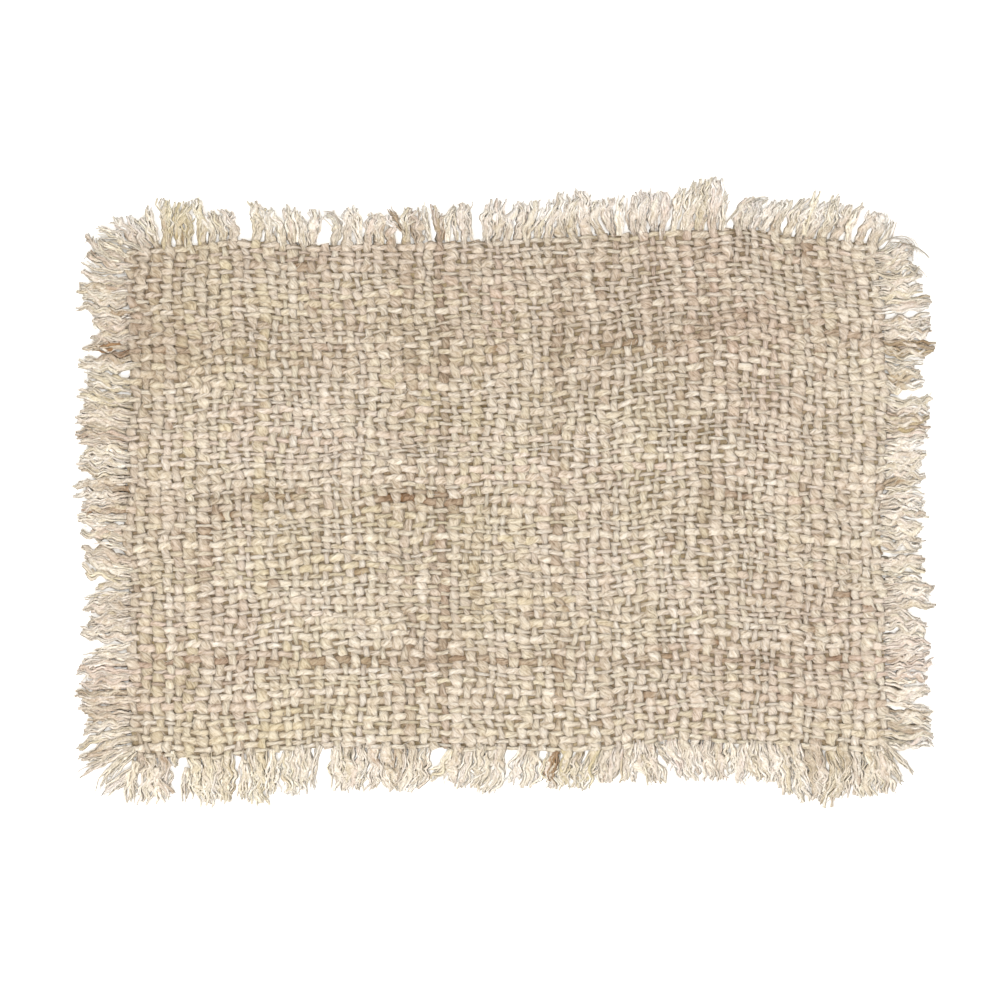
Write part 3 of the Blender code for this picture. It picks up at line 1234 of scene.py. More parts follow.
@dataclass
class YarnSet:
    """The parallel yarns of one direction of the weave, hand-spun and so thick and thin by turns.

    A slub is a fat, loosely twisted stretch. Yarns lie closer where they are thin, and a slub pushes its
    neighbours aside. Lengths along a yarn are counted in crossings, and slubs are in millimetres.
    """

    direction: Direction
    count: int
    crossings: int
    pitch: float
    half_width: float
    half_height: float
    steps: int
    streaks: tuple[Streak, ...]
    seed: int
    slant: float
    twist: float
    crimp: float
    plateau: float
    mean_tone: float
    sides: int = 6

    # How thick the yarn is: its slubs, its own size, and slow and quick changes along it.
    slubs_per_yarn: float = 3.0
    slub_strength: tuple[float, float] = (0.10, 0.55)
    slub_reach: tuple[float, float] = (2.0, 8.0)
    own_size: float = 0.22
    slow_size: Layer = Layer(0.15, 0.0, 3.0)
    quick_size: Layer = Layer(0.22, 0.0, 0.55)
    thinnest: float = 0.42
    fattest: float = 1.60
    height_share: float = 0.35
    bulge: float = 0.04
    end_share: float = 0.8

    # How the yarns share the room, and how far they stray from even places.
    room_share: float = 0.8
    least_fill: float = 0.27
    evened_yarns: float = 4.0
    drift_length: float = 0.7
    wander: Layer = Layer(0.34 * MM, 0.0, 0.8)
    edge_wander: float = 0.7 * MM
    edge_drift: Layer = Layer(1.0, 0.0, 1.6)
    edge_limit: float = 1.5
    edge_yarns: float = 0.8
    leaning: Layer = Layer(0.6, 2.0, 4.0)
    kink: Layer = Layer(0.22 * MM, 0.0, 0.4)
    bobbing: Layer = Layer(0.07 * MM, 0.0, 0.8)
    roll: Layer = Layer(0.16, 0.0, 0.5)
    uneven_twist: Layer = Layer(0.35, 0.0, 0.9)

    # The section of the yarn.
    lumpiness: float = 0.12
    ridge: float = 0.11
    squareness: float = 0.7

    # Its colour: tone from dark to pale, hue from rosy to straw, and bark for brown.
    own_tone: float = 0.025
    slub_dulling: float = 0.13
    slow_tone: Layer = Layer(0.015, 0.0, 3.5)
    quick_tone: Layer = Layer(0.020, 0.0, 0.6)
    mean_hue: float = 0.02
    own_hue: float = 0.12
    quick_hue: Layer = Layer(0.12, 0.0, 1.0)
    patchy_hue: Layer = Layer(0.18, 2.5, 8.0)
    flecks: Layer = Layer(1.0, 0.0, 0.8)
    brown_fleck_from: float = 1.8
    brown_fleck: float = 0.45
    pale_fleck_from: float = 2.0
    pale_fleck: float = 0.10
    own_bark: float = 0.07
    patchy_bark: Layer = Layer(1.0, 1.4, 5.0)
    patch_strength: float = 0.07
    patch_limit: float = 2.5
    # Painted shade on the flanks and on the parts that another yarn covers.
    painted_flank_shade: float = 0.56
    painted_covered_shade: float = 0.22

    along: Array = field(init=False)
    swelling: Array = field(init=False)
    places: Array = field(init=False)

    def __post_init__(self) -> None:
        """Spins the yarns and shares out the room between them."""
        rng = np.random.default_rng(self.seed)
        self.along = np.linspace(0.0, 1.0, self.crossings * self.steps + 1)
        slubs = self.spin_slubs(rng)
        own = 1 + self.own_size * rng.standard_normal((self.count, 1)).clip(-OUTLIER, OUTLIER)
        slow = self.slow_size.drawn(rng, slubs.shape, self.steps)
        quick = self.quick_size.drawn(rng, slubs.shape, self.steps)
        self.swelling = np.clip((own + slow + quick) * (1 + slubs), self.thinnest, self.fattest)
        self.places = self.share_out(rng)

    def spin_slubs(self, rng: np.random.Generator) -> Array:
        """How much wider each yarn is made by its slubs.

        Args:
            rng: Where the random values come from.

        Returns:
            The added share of width, with a row for each yarn and a column for each station.
        """
        slubs = np.zeros((self.count, len(self.along)))
        station_length = self.pitch_along() / self.steps
        for yarn in slubs:
            for _ in range(rng.poisson(self.slubs_per_yarn)):
                middle = rng.uniform(0, len(self.along))
                reach = rng.uniform(*self.slub_reach) * MM / station_length
                strength = rng.uniform(*self.slub_strength)
                yarn += strength * np.exp(-(((np.arange(len(yarn)) - middle) / reach) ** 2))
        return slubs

    def pitch_along(self) -> float:
        """How far apart the yarns are that these cross."""
        return WEFT_PITCH if self.direction is Direction.WARP else WARP_PITCH

    def share_out(self, rng: np.random.Generator) -> Array:
        """Gives each yarn its place beside its neighbours.

        Args:
            rng: Where the random values come from.

        Returns:
            The place across the field of every station, from 0 to 1.
        """
        room = between(1.0, self.swelling, self.room_share)
        ends = np.cumsum(room, axis=0)
        packed = (ends - room / 2) / ends[-1]
        number = np.arange(self.count)[:, None]
        even = (number + 0.5) / self.count
        drift = packed - even
        drift -= blurred(drift, self.evened_yarns, 0.0)
        drift = blurred(drift, 0.0, self.drift_length * self.steps)
        wander = self.wander.drawn(rng, drift.shape, self.steps)
        outermost = np.exp(-np.minimum(number, self.count - 1 - number) / self.edge_yarns)
        loose = self.edge_drift.drawn(rng, drift.shape, self.steps).clip(-self.edge_limit, self.edge_limit)
        wander += self.edge_wander * outermost * loose
        return even + drift + wander / (self.pitch * self.count)

    def crossings_passed(self, other: "YarnSet") -> Array:
        """Counts the crossings along each yarn to where the other yarns really lie.

        Args:
            other: The yarns of the other direction.

        Returns:
            How many of the other yarns lie behind each station.
        """
        passed = np.empty((self.count, len(self.along)))
        for number in range(self.count):
            station = round((number + 0.5) / self.count * (len(other.along) - 1))
            met = np.sort(other.places[:, station])
            passed[number] = np.interp(self.along, met, np.arange(other.count) + 0.5)
        return passed

    def weave(self, other: "YarnSet") -> Tubes:
        """Weaves the yarns over and under the others.

        Args:
            other: The yarns of the other direction.

        Returns:
            The yarns from edge to edge of the field.
        """
        rng = np.random.default_rng(self.seed + 1)
        shape = self.places.shape
        sign = 1 if self.direction is Direction.WARP else -1
        parity = sign * (1 - 2 * (np.arange(self.count)[:, None] % 2))
        turn = math.pi * (self.crossings_passed(other) - 0.5)
        over = parity * np.cos(turn)
        leaning = np.clip(1 + self.leaning.drawn(rng, shape, self.steps), 0.0, 2.0)
        aside = self.kink.drawn(rng, shape, self.steps)
        aside -= self.slant * leaning * parity * np.sin(turn)
        places = self.places + aside / (self.pitch * self.count)
        half_heights = self.half_height * between(1.0, self.swelling, self.height_share)
        rise = self.crimp * np.sign(over) * np.abs(over) ** self.plateau
        rise += self.bobbing.drawn(rng, shape, self.steps)
        height = np.maximum(CLOTH_THICKNESS / 2 + rise, half_heights)
        along = np.broadcast_to(self.along, shape)
        if self.direction is Direction.WARP:
            centres = lay(places, along, height)
        else:
            centres = lay(along, places, height)
        tone, hue, bark = self.colours(rng, centres)
        stations = np.arange(len(self.along))
        ends = eased(np.minimum(stations, stations[::-1]) / self.steps)
        room = np.gradient(self.places, axis=0) * self.count * self.pitch
        half_widths = np.maximum(self.half_width * self.swelling, self.least_fill * room)
        half_widths = half_widths * (1 + self.bulge * over) * fullness(centres[..., 0], centres[..., 1])
        yarns = Tubes(
            centres=centres,
            half_widths=half_widths * between(self.end_share, 1.0, ends),
            half_heights=half_heights,
            rolls=self.roll.drawn(rng, shape, self.steps),
            tone=tone,
            hue=hue,
            bark=bark,
            sides=self.sides,
            lumps=lumps_of(rng, shape, self.sides, self.lumpiness, self.ridge),
            squareness=self.squareness,
            painted_flank_shade=self.painted_flank_shade,
            painted_covered_shade=self.painted_covered_shade,
            over=over,
        )
        yarns.turns = 2 * math.pi * (yarns.travelled() / self.twist + rng.random((self.count, 1)))
        yarns.turns += self.uneven_twist.drawn(rng, shape, self.steps)
        return yarns

    def colours(self, rng: np.random.Generator, centres: Array) -> tuple[Array, Array, Array]:
        """The tables of tone, hue and bark along the yarns.

        Args:
            rng: Where the random values come from.
            centres: The yarns' paths.

        Returns:
            The three tables.
        """
        shape = self.places.shape
        x, y = centres[..., 0], centres[..., 1]
        tone = self.mean_tone + self.own_tone * rng.standard_normal((self.count, 1))
        tone = tone - self.slub_dulling * (self.swelling - 1)
        tone = tone + self.slow_tone.drawn(rng, shape, self.steps)
        tone = tone + self.quick_tone.drawn(rng, shape, self.steps)
        hue = self.mean_hue + self.own_hue * rng.standard_normal((self.count, 1))
        hue = hue + self.quick_hue.drawn(rng, shape, self.steps)
        hue = hue + self.patchy_hue.drawn(rng, shape, self.steps)
        flecks = self.flecks.drawn(rng, shape, self.steps)
        bark = self.brown_fleck * np.clip(flecks - self.brown_fleck_from, 0.0, 1.0)
        bark += self.own_bark * np.clip(rng.standard_normal((self.count, 1)), 0.0, OUTLIER)
        patches = self.patchy_bark.drawn(rng, shape, self.steps)
        bark += self.patch_strength * np.clip(patches, 0.0, self.patch_limit)
        tone += self.pale_fleck * np.clip(-flecks - self.pale_fleck_from, 0.0, 1.0)
        for zone in ZONES:
            share = np.exp(-oval_distance(x, y, zone))
            tone += zone.tone * share
            hue += zone.hue * share
        for streak in self.streaks:
            share = streak_share(x, y, streak)
            tone += streak.tone * share
            bark += streak.bark * share
        return tone, np.clip(hue, -1.0, 1.0), np.clip(bark, 0.0, 1.0)


@dataclass
class Weave:
    """The woven field: warp and weft as yarns, and a dark sheet between them that closes the gaps and paints
    their shade.
    """

    warp: YarnSet
    weft: YarnSet
    ground_columns: int = 84
    ground_rows: int = 56
    ground_inset: float = 0.0025
    ground_height: float = 1.3 * MM
    # Its low tone is painted shade for the gaps.
    gap_shade_mean_tone: float = 0.4
    ground_tone: Layer = Layer(0.2, 1.0, 1.0)
    ground_hue: Layer = Layer(0.2, 2.0, 2.0)
    ground_seed: int = 5
    warp_yarns: Tubes = field(init=False)
    weft_yarns: Tubes = field(init=False)

    def __post_init__(self) -> None:
        """Crosses the two directions."""
        self.warp_yarns = self.warp.weave(self.weft)
        self.weft_yarns = self.weft.weave(self.warp)

    def build(self) -> tuple[bpy.types.Object, list[bpy.types.Object]]:
        """Builds the ground and the yarns.

        Returns:
            The ground, a dark sheet of painted shade for the gaps in place of the cloth solid, and the four
            pieces of yarn on it.
        """
        material = CLOTH_FINISH.material()
        halves = (
            ("warp_left", self.warp_yarns, 0, self.warp.count // 2),
            ("warp_right", self.warp_yarns, self.warp.count // 2, self.warp.count),
            ("weft_lower", self.weft_yarns, 0, self.weft.count // 2),
            ("weft_upper", self.weft_yarns, self.weft.count // 2, self.weft.count),
        )
        yarns = []
        for name, spun, first, last in halves:
            piece = tube_piece(name, [spun.cut(first, last)], material)
            settle(piece, CLOTH_FINISH.slot)
            yarns.append(piece)
        ground = self.build_ground()
        settle(ground, GAP_SHADE_FINISH.slot, "cloth")
        return ground, yarns

    def build_ground(self) -> bpy.types.Object:
        """Builds the thin layer at mid-height, seen only as the dark of the gaps: painted shade, standing
        also for the matted fibre there.

        Returns:
            The new object.
        """
        across, up = np.meshgrid(
            np.linspace(self.ground_inset, 1 - self.ground_inset, self.ground_columns + 1),
            np.linspace(self.ground_inset, 1 - self.ground_inset, self.ground_rows + 1),
        )
        points = lay(across, up, np.full(across.shape, self.ground_height)).reshape(-1, 3)
        numbers = np.arange(across.size).reshape(across.shape)
        quads = np.stack((numbers[:-1, :-1], numbers[:-1, 1:], numbers[1:, 1:], numbers[1:, :-1]), axis=-1)
        rng = np.random.default_rng(self.ground_seed)
        tables = {
            "tone": self.gap_shade_mean_tone + self.ground_tone.drawn(rng, across.shape),
            "hue": self.ground_hue.drawn(rng, across.shape),
            "bark": np.zeros(across.shape),
            "fibre": points / MM,
        }
        corners = np.stack((across, up), axis=-1).reshape(-1, 2)[quads.reshape(-1)]
        faces = quads.reshape(-1, 4).tolist()
        return make_piece("ground", points, faces, tables, corners, GAP_SHADE_FINISH.material())


class Strands(NamedTuple):
    """The yarn ends of one side, with a row for each: its yarn, its root, its lean and its reach."""

    number: Array
    root: Array
    lean: Array
    reach: Array


@dataclass(frozen=True)
class Habit:
    """How the yarn ends of a side lie.

    Every strand parts into plies and wisps. The wisps leave it anywhere up to last_start, a share of its
    reach, and lie within root_spread of it there and within spread at its tip. Crimp is the wave that the
    weave left in the yarn, and period its length. Bend, curl and hook carry strands, wisps and tips aside.
    Shade is painted shade that browns the flanks. The mat is the band of short fibre under each strand, out
    to mat_reach, darkened as painted shade between the strands.
    """

    wisps: int
    spread: float
    root_spread: float
    last_start: float
    curl: float
    hook: float
    ply_half_width: float
    wisp_half_width: float
    crimp: float
    period: float
    bend: float
    tip_tone: float
    shade: float
    mat_reach: float
    mat_half_width: float
    mat_shade: float


# The upper side: tips turned over in small hooks.
HOOKED = Habit(
    wisps=12,
    spread=2.0 * MM,
    root_spread=1.3 * MM,
    last_start=0.30,
    curl=0.8 * MM,
    hook=2.0 * MM,
    ply_half_width=1.60 * MM,
    wisp_half_width=0.80 * MM,
    crimp=0.6 * MM,
    period=7.5 * MM,
    bend=1.1 * MM,
    tip_tone=0.80,
    shade=0.42,
    mat_reach=0.40,
    mat_half_width=2.0 * MM,
    mat_shade=0.15,
)
# The lower side: full, loose and curly.
WOOLLY = Habit(
    wisps=14,
    spread=2.6 * MM,
    root_spread=2.1 * MM,
    last_start=0.12,
    curl=1.1 * MM,
    hook=2.6 * MM,
    ply_half_width=1.75 * MM,
    wisp_half_width=0.82 * MM,
    crimp=0.8 * MM,
    period=9 * MM,
    bend=1.4 * MM,
    tip_tone=0.70,
    shade=0.42,
    mat_reach=0.75,
    mat_half_width=2.5 * MM,
    mat_shade=0.10,
)
# The left and right sides: dense and gently waved, and paler on the right.
WAVY = Habit(
    wisps=8,
    spread=1.1 * MM,
    root_spread=1.3 * MM,
    last_start=0.08,
    curl=0.7 * MM,
    hook=1.8 * MM,
    ply_half_width=1.65 * MM,
    wisp_half_width=0.98 * MM,
    crimp=1.1 * MM,
    period=10 * MM,
    bend=1.6 * MM,
    tip_tone=0.60,
    shade=0.84,
    mat_reach=0.80,
    mat_half_width=2.1 * MM,
    mat_shade=0.45,
)
PALE_WAVY = replace(WAVY, tip_tone=0.71, shade=0.60)


@dataclass
class Fringe:
    """The ravelled yarn ends of one side, in locks: each splits into plies, and the plies into fibres.

    A layer's length is counted in sections. A pace is one over the share of the strand within which it leaves
    the hold of the weave, parts, or takes its own width. The lengths and widths of hairs are in millimetres.
    """

    side: Side
    yarns: Tubes
    habit: Habit
    accents: tuple[Accent, ...]
    strays: tuple[Stray, ...]
    seed: int
    sections: int = 15
    freeing_pace: float = 3.0
    parting_pace: float = 2.0
    thinning_pace: float = 2.2
    loosening_pace: float = 4.0
    rest_height: float = 1.2 * MM
    clearance: float = 0.05 * MM
    settling_pace: float = 2.2
    settling_power: float = 1.5
    overlap: float = 0.09

    # The way of a whole strand.
    wave_drift: Layer = Layer(0.8, 0.0, 3.0)
    crimp_range: tuple[float, float] = (0.3, 1.5)
    slow_bend: Layer = Layer(1.0, 2.0, 4.0)
    quick_bend: Layer = Layer(0.4 * MM, 0.0, 1.2)
    strand_hook: float = 1.1
    hook_length: float = 0.5

    # The plies.
    ply_sides: int = 5
    ply_lengths: tuple[tuple[float, float], ...] = ((0.95, 1.02), (0.7, 1.0))
    ply_root_width: float = 0.72
    ply_root_height: float = 0.9
    ply_half_height: float = 0.70 * MM
    ply_girths: tuple[float, float] = (0.8, 1.3)
    ply_turns: tuple[float, float] = (0.8, 1.8)
    ply_swing: float = 0.45
    ply_parting: float = 0.25
    ply_hook: float = 0.4
    ply_hook_length: float = 0.35
    ply_bend: Layer = Layer(0.45 * MM, 0.0, 1.3)
    ply_rise: float = 0.35 * MM
    ply_swelling: Layer = Layer(0.20, 0.0, 1.4)
    ply_taper: float = 0.35
    taper_length: float = 0.3
    thinnest_ply: float = 0.25 * MM
    ply_roll: Layer = Layer(0.4, 0.0, 2.0)
    ply_dulling: float = 0.07
    ply_twist: float = 14 * MM
    lumpiness: float = 0.20

    # The wisps.
    wisp_sides: int = 3
    first_start: float = -0.16
    wisp_ends: tuple[float, float] = (0.55, 1.08)
    widest_offset: float = 1.8
    wisp_curl: Layer = Layer(1.0, 0.0, 1.5)
    wisp_hook: float = 0.6
    wisp_rise: float = 0.5 * MM
    wisp_bobbing: Layer = Layer(0.15 * MM, 0.0, 2.0)
    wisp_girths: tuple[float, float] = (0.65, 1.35)
    wisp_swelling: Layer = Layer(0.25, 0.0, 1.2)
    wisp_root_share: float = 0.6
    wisp_taper: float = 0.20
    thinnest_wisp: float = 0.34 * MM
    wisp_flatness: float = 0.75
    highest_wisp: float = 0.50 * MM
    wisp_roll: float = 0.5
    wisp_brightening: float = 0.04
    wisp_twist: float = 20 * MM
    wisp_shade: float = 0.7

    # The matted fibre underneath, darkened as painted shade between the strands.
    mat_lengths: tuple[float, float] = (0.7, 1.15)
    mat_height: float = 0.30 * MM
    mat_half_height: float = 0.25 * MM
    mat_swelling: Layer = Layer(0.22, 0.0, 1.2)
    mat_taper: float = 0.6
    mat_taper_length: float = 0.5
    thinnest_mat: float = 0.4 * MM
    mat_tone: float = 0.56
    mat_mottle: Layer = Layer(0.06, 0.0, 1.5)
    mat_hue: Layer = Layer(0.15, 1.0, 3.0)

    # Single hairs.
    hairs_per_strand: int = 5
    hair_sections: int = 5
    hair_starts: tuple[float, float] = (0.1, 1.0)
    hair_start_power: float = 0.6
    hair_swing: float = 0.6
    hair_lengths: tuple[float, float] = (2.0, 4.5)
    hair_curl: float = 0.7
    hair_limit: float = 1.03
    hair_overreach: float = 2.0 * MM
    hair_rises: tuple[float, float] = (-0.6, 1.0)
    hair_root_rise: float = 0.3
    lowest_hair: float = 0.2 * MM
    hair_half_widths: tuple[float, float] = (0.15, 0.30)
    hair_taper: float = 0.6

    # Yarn ends that lie apart from the locks.
    wisps_per_stray: int = 8
    stray_offset: float = 0.9
    stray_root_share: float = 0.6
    stray_pace: float = 1.5
    stray_curl_share: float = 0.4
    stray_curl: Layer = Layer(1.0, 0.0, 1.2)
    stray_lengths: tuple[float, float] = (0.75, 1.05)
    stray_taper: float = 0.5
    stray_taper_length: float = 0.4
    stray_girths: tuple[float, float] = (0.25, 0.55)
    stray_half_widths: tuple[float, float] = (0.18 * MM, 1.15 * MM)
    stray_swelling: Layer = Layer(0.25, 0.0, 1.2)
    thinnest_stray: float = 0.1 * MM
    stray_heights: tuple[float, float] = (2.4 * MM, 1.5 * MM)
    stray_rise: float = 0.3 * MM
    stray_bobbing: Layer = Layer(0.15 * MM, 0.0, 2.0)
    stray_flatness: float = 0.7
    stray_root_tone: float = 0.62
    stray_mottle: Layer = Layer(0.06, 0.0, 2.0)
    stray_hue: float = 0.15
    stray_shade: float = 0.30

    # The colours of the strands: pale towards the tips, as painted light for loose fibre that lies open to
    # the light and lets it through.
    strand_contrast: float = 0.07
    painted_tip_light_pace: float = 1.1
    ply_contrast: float = 0.03
    mottle: Layer = Layer(0.05, 0.0, 2.0)
    mean_hue: float = 0.05
    hue_pull: float = 0.5
    hue_spread: float = 0.2
    bark_loss: float = 0.8
    flecks: Layer = Layer(1.0, 0.0, 2.5)
    brown_fleck_from: float = 1.3
    brown_fleck: float = 0.40
    accent_mean: float = 0.6
    accent_patches: Layer = Layer(0.5, 0.0, 2.5)
    accent_least: float = 0.1
    hair_tone: tuple[float, float] = (0.68, 0.12)
    darkest_hair: float = 0.3
    hair_hue: tuple[float, float] = (0.25, 0.3)

    strands: Strands = field(init=False)
    steps: Array = field(init=False)
    strand_tones: Array = field(init=False)

    def __post_init__(self) -> None:
        """Finds which yarns end in this fringe, and how dark each has turned."""
        self.strands = self.find_strands()
        self.steps = np.linspace(0.0, 1.0, self.sections)[None, :]
        drawn = np.random.default_rng(self.seed + 1).standard_normal((self.count(), 1))
        self.strand_tones = self.strand_contrast * drawn.clip(-OUTLIER, OUTLIER)

    def find_strands(self) -> Strands:
        """Finds the yarns that leave the weave within a lock.

        Returns:
            Their numbers and roots, and the lean and the reach of their tips.
        """
        side = self.side
        low, high = (LEFT, RIGHT) if side.upright else (BOTTOM, TOP)
        corner = side.sign * side.half_depth
        start, end = -float(low.edge(corner)), float(high.edge(corner))
        inset = side.strand_half_width + (0.0 if side.upright else STRIP_INSET)
        pitch = (end - start) / side.yarns
        rows = []
        for number in range(side.yarns):
            root = start + (number + 0.5) * pitch
            if not start + inset < root < end - inset:
                continue
            for lock in side.locks:
                if lock.root_from * MM <= root < lock.root_to * MM:
                    share = (root / MM - lock.root_from) / (lock.root_to - lock.root_from)
                    tip = between(lock.tip_from, lock.tip_to, share) * MM
                    uneven = math.sin(UNEVEN_STEP * number)
                    reach = lock.reach * MM * (SHORTEST_SHARE + REACH_SPREAD * (1 + uneven))
                    rows.append((number, root, tip - root, reach))
        table = np.array(rows)
        return Strands(table[:, 0].astype(int), table[:, 1], table[:, 2], table[:, 3])

    def count(self) -> int:
        """How many strands the fringe has."""
        return len(self.strands.root)

    def at_edge(self, table: Array) -> Array:
        """What a table of the woven yarns says where each strand's yarn leaves the weave."""
        return table[self.strands.number, -1 if self.side.sign > 0 else 0]

    def aside(self) -> Array:
        """The direction in the plane that runs along this side."""
        return np.array((1.0, 0.0, 0.0) if self.side.upright else (0.0, 1.0, 0.0))

    def line(self, shares: Array) -> Array:
        """The middle line of each strand, starting where its yarn ends.

        Args:
            shares: How far out the points lie, as shares of the reach.

        Returns:
            The points, with a row for each strand.
        """
        strands = self.strands
        along = strands.root[:, None] + strands.lean[:, None] * np.maximum(shares, 0.0) ** LEAN_POWER
        out = self.side.edge(strands.root)[:, None] + strands.reach[:, None] * shares
        points = self.side.place(along, out, np.zeros_like(along))
        ends = self.at_edge(self.yarns.centres)
        nominal = self.side.place(strands.root, self.side.edge(strands.root), np.zeros(self.count()))
        pull = np.clip(1 - shares, 0.0, 1.0)[..., None] ** 2
        points += (ends - nominal)[:, None] * pull
        held = np.clip(1 - self.settling_pace * shares, 0.0, 1.0) ** self.settling_power
        points[..., 2] = between(self.rest_height, ends[:, None, 2], held)
        return points

    def late(self, length: float) -> Array:
        """Rises from 0 to 1 at each section, over a last stretch that is this share of the whole."""
        return eased((self.steps - (1 - length)) / length)

    def hooks(self, rng: np.random.Generator, strength: float, length: float) -> Array:
        """How far the tips turn aside, with this share of the habit's hook, over this last share of them."""
        turned = rng.standard_normal((self.count(), 1))
        return strength * self.habit.hook * turned * self.late(length) ** 2

    def sway(self, rng: np.random.Generator) -> Array:
        """How far each whole strand is carried aside: the crimp that it keeps, slow bends, and its hook.

        Args:
            rng: Where the random values come from.

        Returns:
            The way aside at each section.
        """
        shape = (self.count(), self.sections)
        periods = self.strands.reach[:, None] * self.steps / self.habit.period
        waves = 2 * math.pi * (periods + rng.random((shape[0], 1)))
        waves = waves + self.wave_drift.drawn(rng, shape)
        crimp = self.habit.crimp * rng.uniform(*self.crimp_range, (shape[0], 1)) * np.sin(waves)
        bends = self.habit.bend * self.slow_bend.drawn(rng, shape)
        bends += self.quick_bend.drawn(rng, shape)
        hooks = self.hooks(rng, self.strand_hook, self.hook_length)
        return (crimp + bends) * eased(self.steps * self.freeing_pace) + hooks

    def carried(self, shares: Array, sway: Array) -> Array:
        """The sway of each strand, read at other shares of its reach."""
        return np.stack([np.interp(way, self.steps[0], row) for way, row in zip(shares, sway)])

    def colours(self, rng: np.random.Generator) -> tuple[Array, Array, Array]:
        """The tables of tone, hue and bark for one ply or wisp of each strand.

        Args:
            rng: Where the random values come from.

        Returns:
            The three tables.
        """
        shape = (self.count(), self.sections)
        tone = self.at_edge(self.yarns.tone)[:, None]
        hue = self.at_edge(self.yarns.hue)[:, None]
        bark = self.at_edge(self.yarns.bark)[:, None]
        # Painted light: the strands grow paler towards their tips, for loose fibre that lets light through.
        painted_tip_light = eased(self.steps * self.painted_tip_light_pace)
        tone = between(tone, self.habit.tip_tone + self.strand_tones, painted_tip_light)
        tone = tone + self.ply_contrast * rng.standard_normal((shape[0], 1))
        tone = tone + self.mottle.drawn(rng, shape)
        hue = between(hue, self.mean_hue, self.hue_pull)
        hue = hue + self.hue_spread * rng.standard_normal((shape[0], 1)) + np.zeros(shape)
        bark = bark * (1 - self.bark_loss * painted_tip_light)
        flecks = self.flecks.drawn(rng, shape)
        bark = bark + self.brown_fleck * np.clip(flecks - self.brown_fleck_from, 0.0, 1.0)
        tips = (self.strands.root + self.strands.lean) / MM
        patches = np.clip(self.accent_mean + self.accent_patches.drawn(rng, shape), self.accent_least, 1.0)
        for accent in self.accents:
            inside = ((tips >= accent.tip_from) & (tips <= accent.tip_to))[:, None] * patches
            tone = tone + accent.tone * inside
            hue = hue + accent.hue * inside
            bark = bark + accent.bark * inside
        return tone, np.clip(hue, -1.0, 1.0), np.clip(bark, 0.0, 1.0)

    def ply(self, rng: np.random.Generator, number: int, sway: Array) -> Tubes:
        """One of the plies of every strand, going on from the yarn's own.

        Args:
            rng: Where the random values come from.
            number: Which ply it is.
            sway: How far the whole strand is carried aside.

        Returns:
            A tube for each strand.
        """
        steps = self.steps
        count = self.count()
        shape = (count, self.sections)
        free = eased(steps * self.freeing_pace)
        apart = eased(steps * self.parting_pace)
        own_width = eased(steps * self.thinning_pace)
        length = rng.uniform(*self.ply_lengths[number], (count, 1))
        centres = self.line(length * between(-self.overlap, 1.0, steps))
        side = 2 * number - 1
        root_width = self.ply_root_width * self.at_edge(self.yarns.half_widths)[:, None]
        root_height = self.ply_root_height * self.at_edge(self.yarns.half_heights)[:, None]
        turns = steps * rng.uniform(*self.ply_turns, (count, 1)) + rng.random((count, 1))
        turn = 2 * math.pi * (turns + 0.5 * number)
        parting = 0.5 * side * root_width * (1 - apart)
        swing = self.ply_swing * np.sin(turn) + self.ply_parting * side
        parting = parting + self.habit.spread * apart * swing
        hooks = self.hooks(rng, self.ply_hook, self.ply_hook_length)
        own = self.ply_bend.drawn(rng, shape) * free
        centres = centres + (parting + sway + own + hooks)[..., None] * self.aside()
        centres[..., 2] += self.ply_rise * np.cos(turn) * free

        girth = rng.uniform(*self.ply_girths, (count, 1))
        half_widths = between(root_width, self.habit.ply_half_width * girth, own_width)
        half_widths = half_widths * (1 + self.ply_swelling.drawn(rng, shape))
        taper = 1 - self.ply_taper * self.late(self.taper_length)
        half_widths = np.maximum(half_widths * taper, self.thinnest_ply)
        half_heights = between(root_height, self.ply_half_height * girth, own_width) * taper
        centres[..., 2] = np.maximum(centres[..., 2], half_heights + self.clearance)
        tone, hue, bark = self.colours(rng)
        return Tubes(
            centres=centres,
            half_widths=half_widths,
            half_heights=half_heights,
            rolls=self.ply_roll.drawn(rng, shape) * eased(steps * self.loosening_pace),
            tone=tone - self.ply_dulling * free,
            hue=hue,
            bark=bark,
            sides=self.ply_sides,
            lumps=lumps_of(rng, shape, self.ply_sides, self.lumpiness),
            bake_columns=3,
            twist_length=self.ply_twist,
            painted_flank_shade=self.habit.shade,
        )

    def wisp(self, rng: np.random.Generator, sway: Array) -> Tubes:
        """One thin bundle of fibres in every strand, untwisted from it and going its own way.

        Args:
            rng: Where the random values come from.
            sway: How far the whole strand is carried aside.

        Returns:
            A tube for each strand.
        """
        steps = self.steps
        count = self.count()
        shape = (count, self.sections)
        start = rng.uniform(self.first_start, self.habit.last_start, (count, 1))
        end = between(*self.wisp_ends, rng.random((count, 1)) ** 0.5)
        shares = between(start, end, steps)
        centres = self.line(shares)
        offset = np.clip(rng.standard_normal((count, 1)), -self.widest_offset, self.widest_offset)
        parting = offset * between(self.habit.root_spread, self.habit.spread, shares)
        own = self.habit.curl * self.wisp_curl.drawn(rng, shape) * eased(steps * self.parting_pace)
        hooks = self.hooks(rng, self.wisp_hook, self.hook_length)
        ways = parting + self.carried(shares, sway) + own + hooks
        centres = centres + ways[..., None] * self.aside()
        centres[..., 2] += self.wisp_rise * rng.random((count, 1)) + self.wisp_bobbing.drawn(rng, shape)
        half_widths = self.habit.wisp_half_width * rng.uniform(*self.wisp_girths, (count, 1))
        half_widths = half_widths * (1 + self.wisp_swelling.drawn(rng, shape))
        half_widths = half_widths * between(self.wisp_root_share, 1.0, eased(steps * self.loosening_pace))
        taper = 1 - self.wisp_taper * self.late(self.taper_length)
        half_widths = np.maximum(half_widths * taper, self.thinnest_wisp)
        half_heights = np.minimum(self.wisp_flatness * half_widths, self.highest_wisp)
        centres[..., 2] = np.maximum(centres[..., 2], half_heights)
        tone, hue, bark = self.colours(rng)
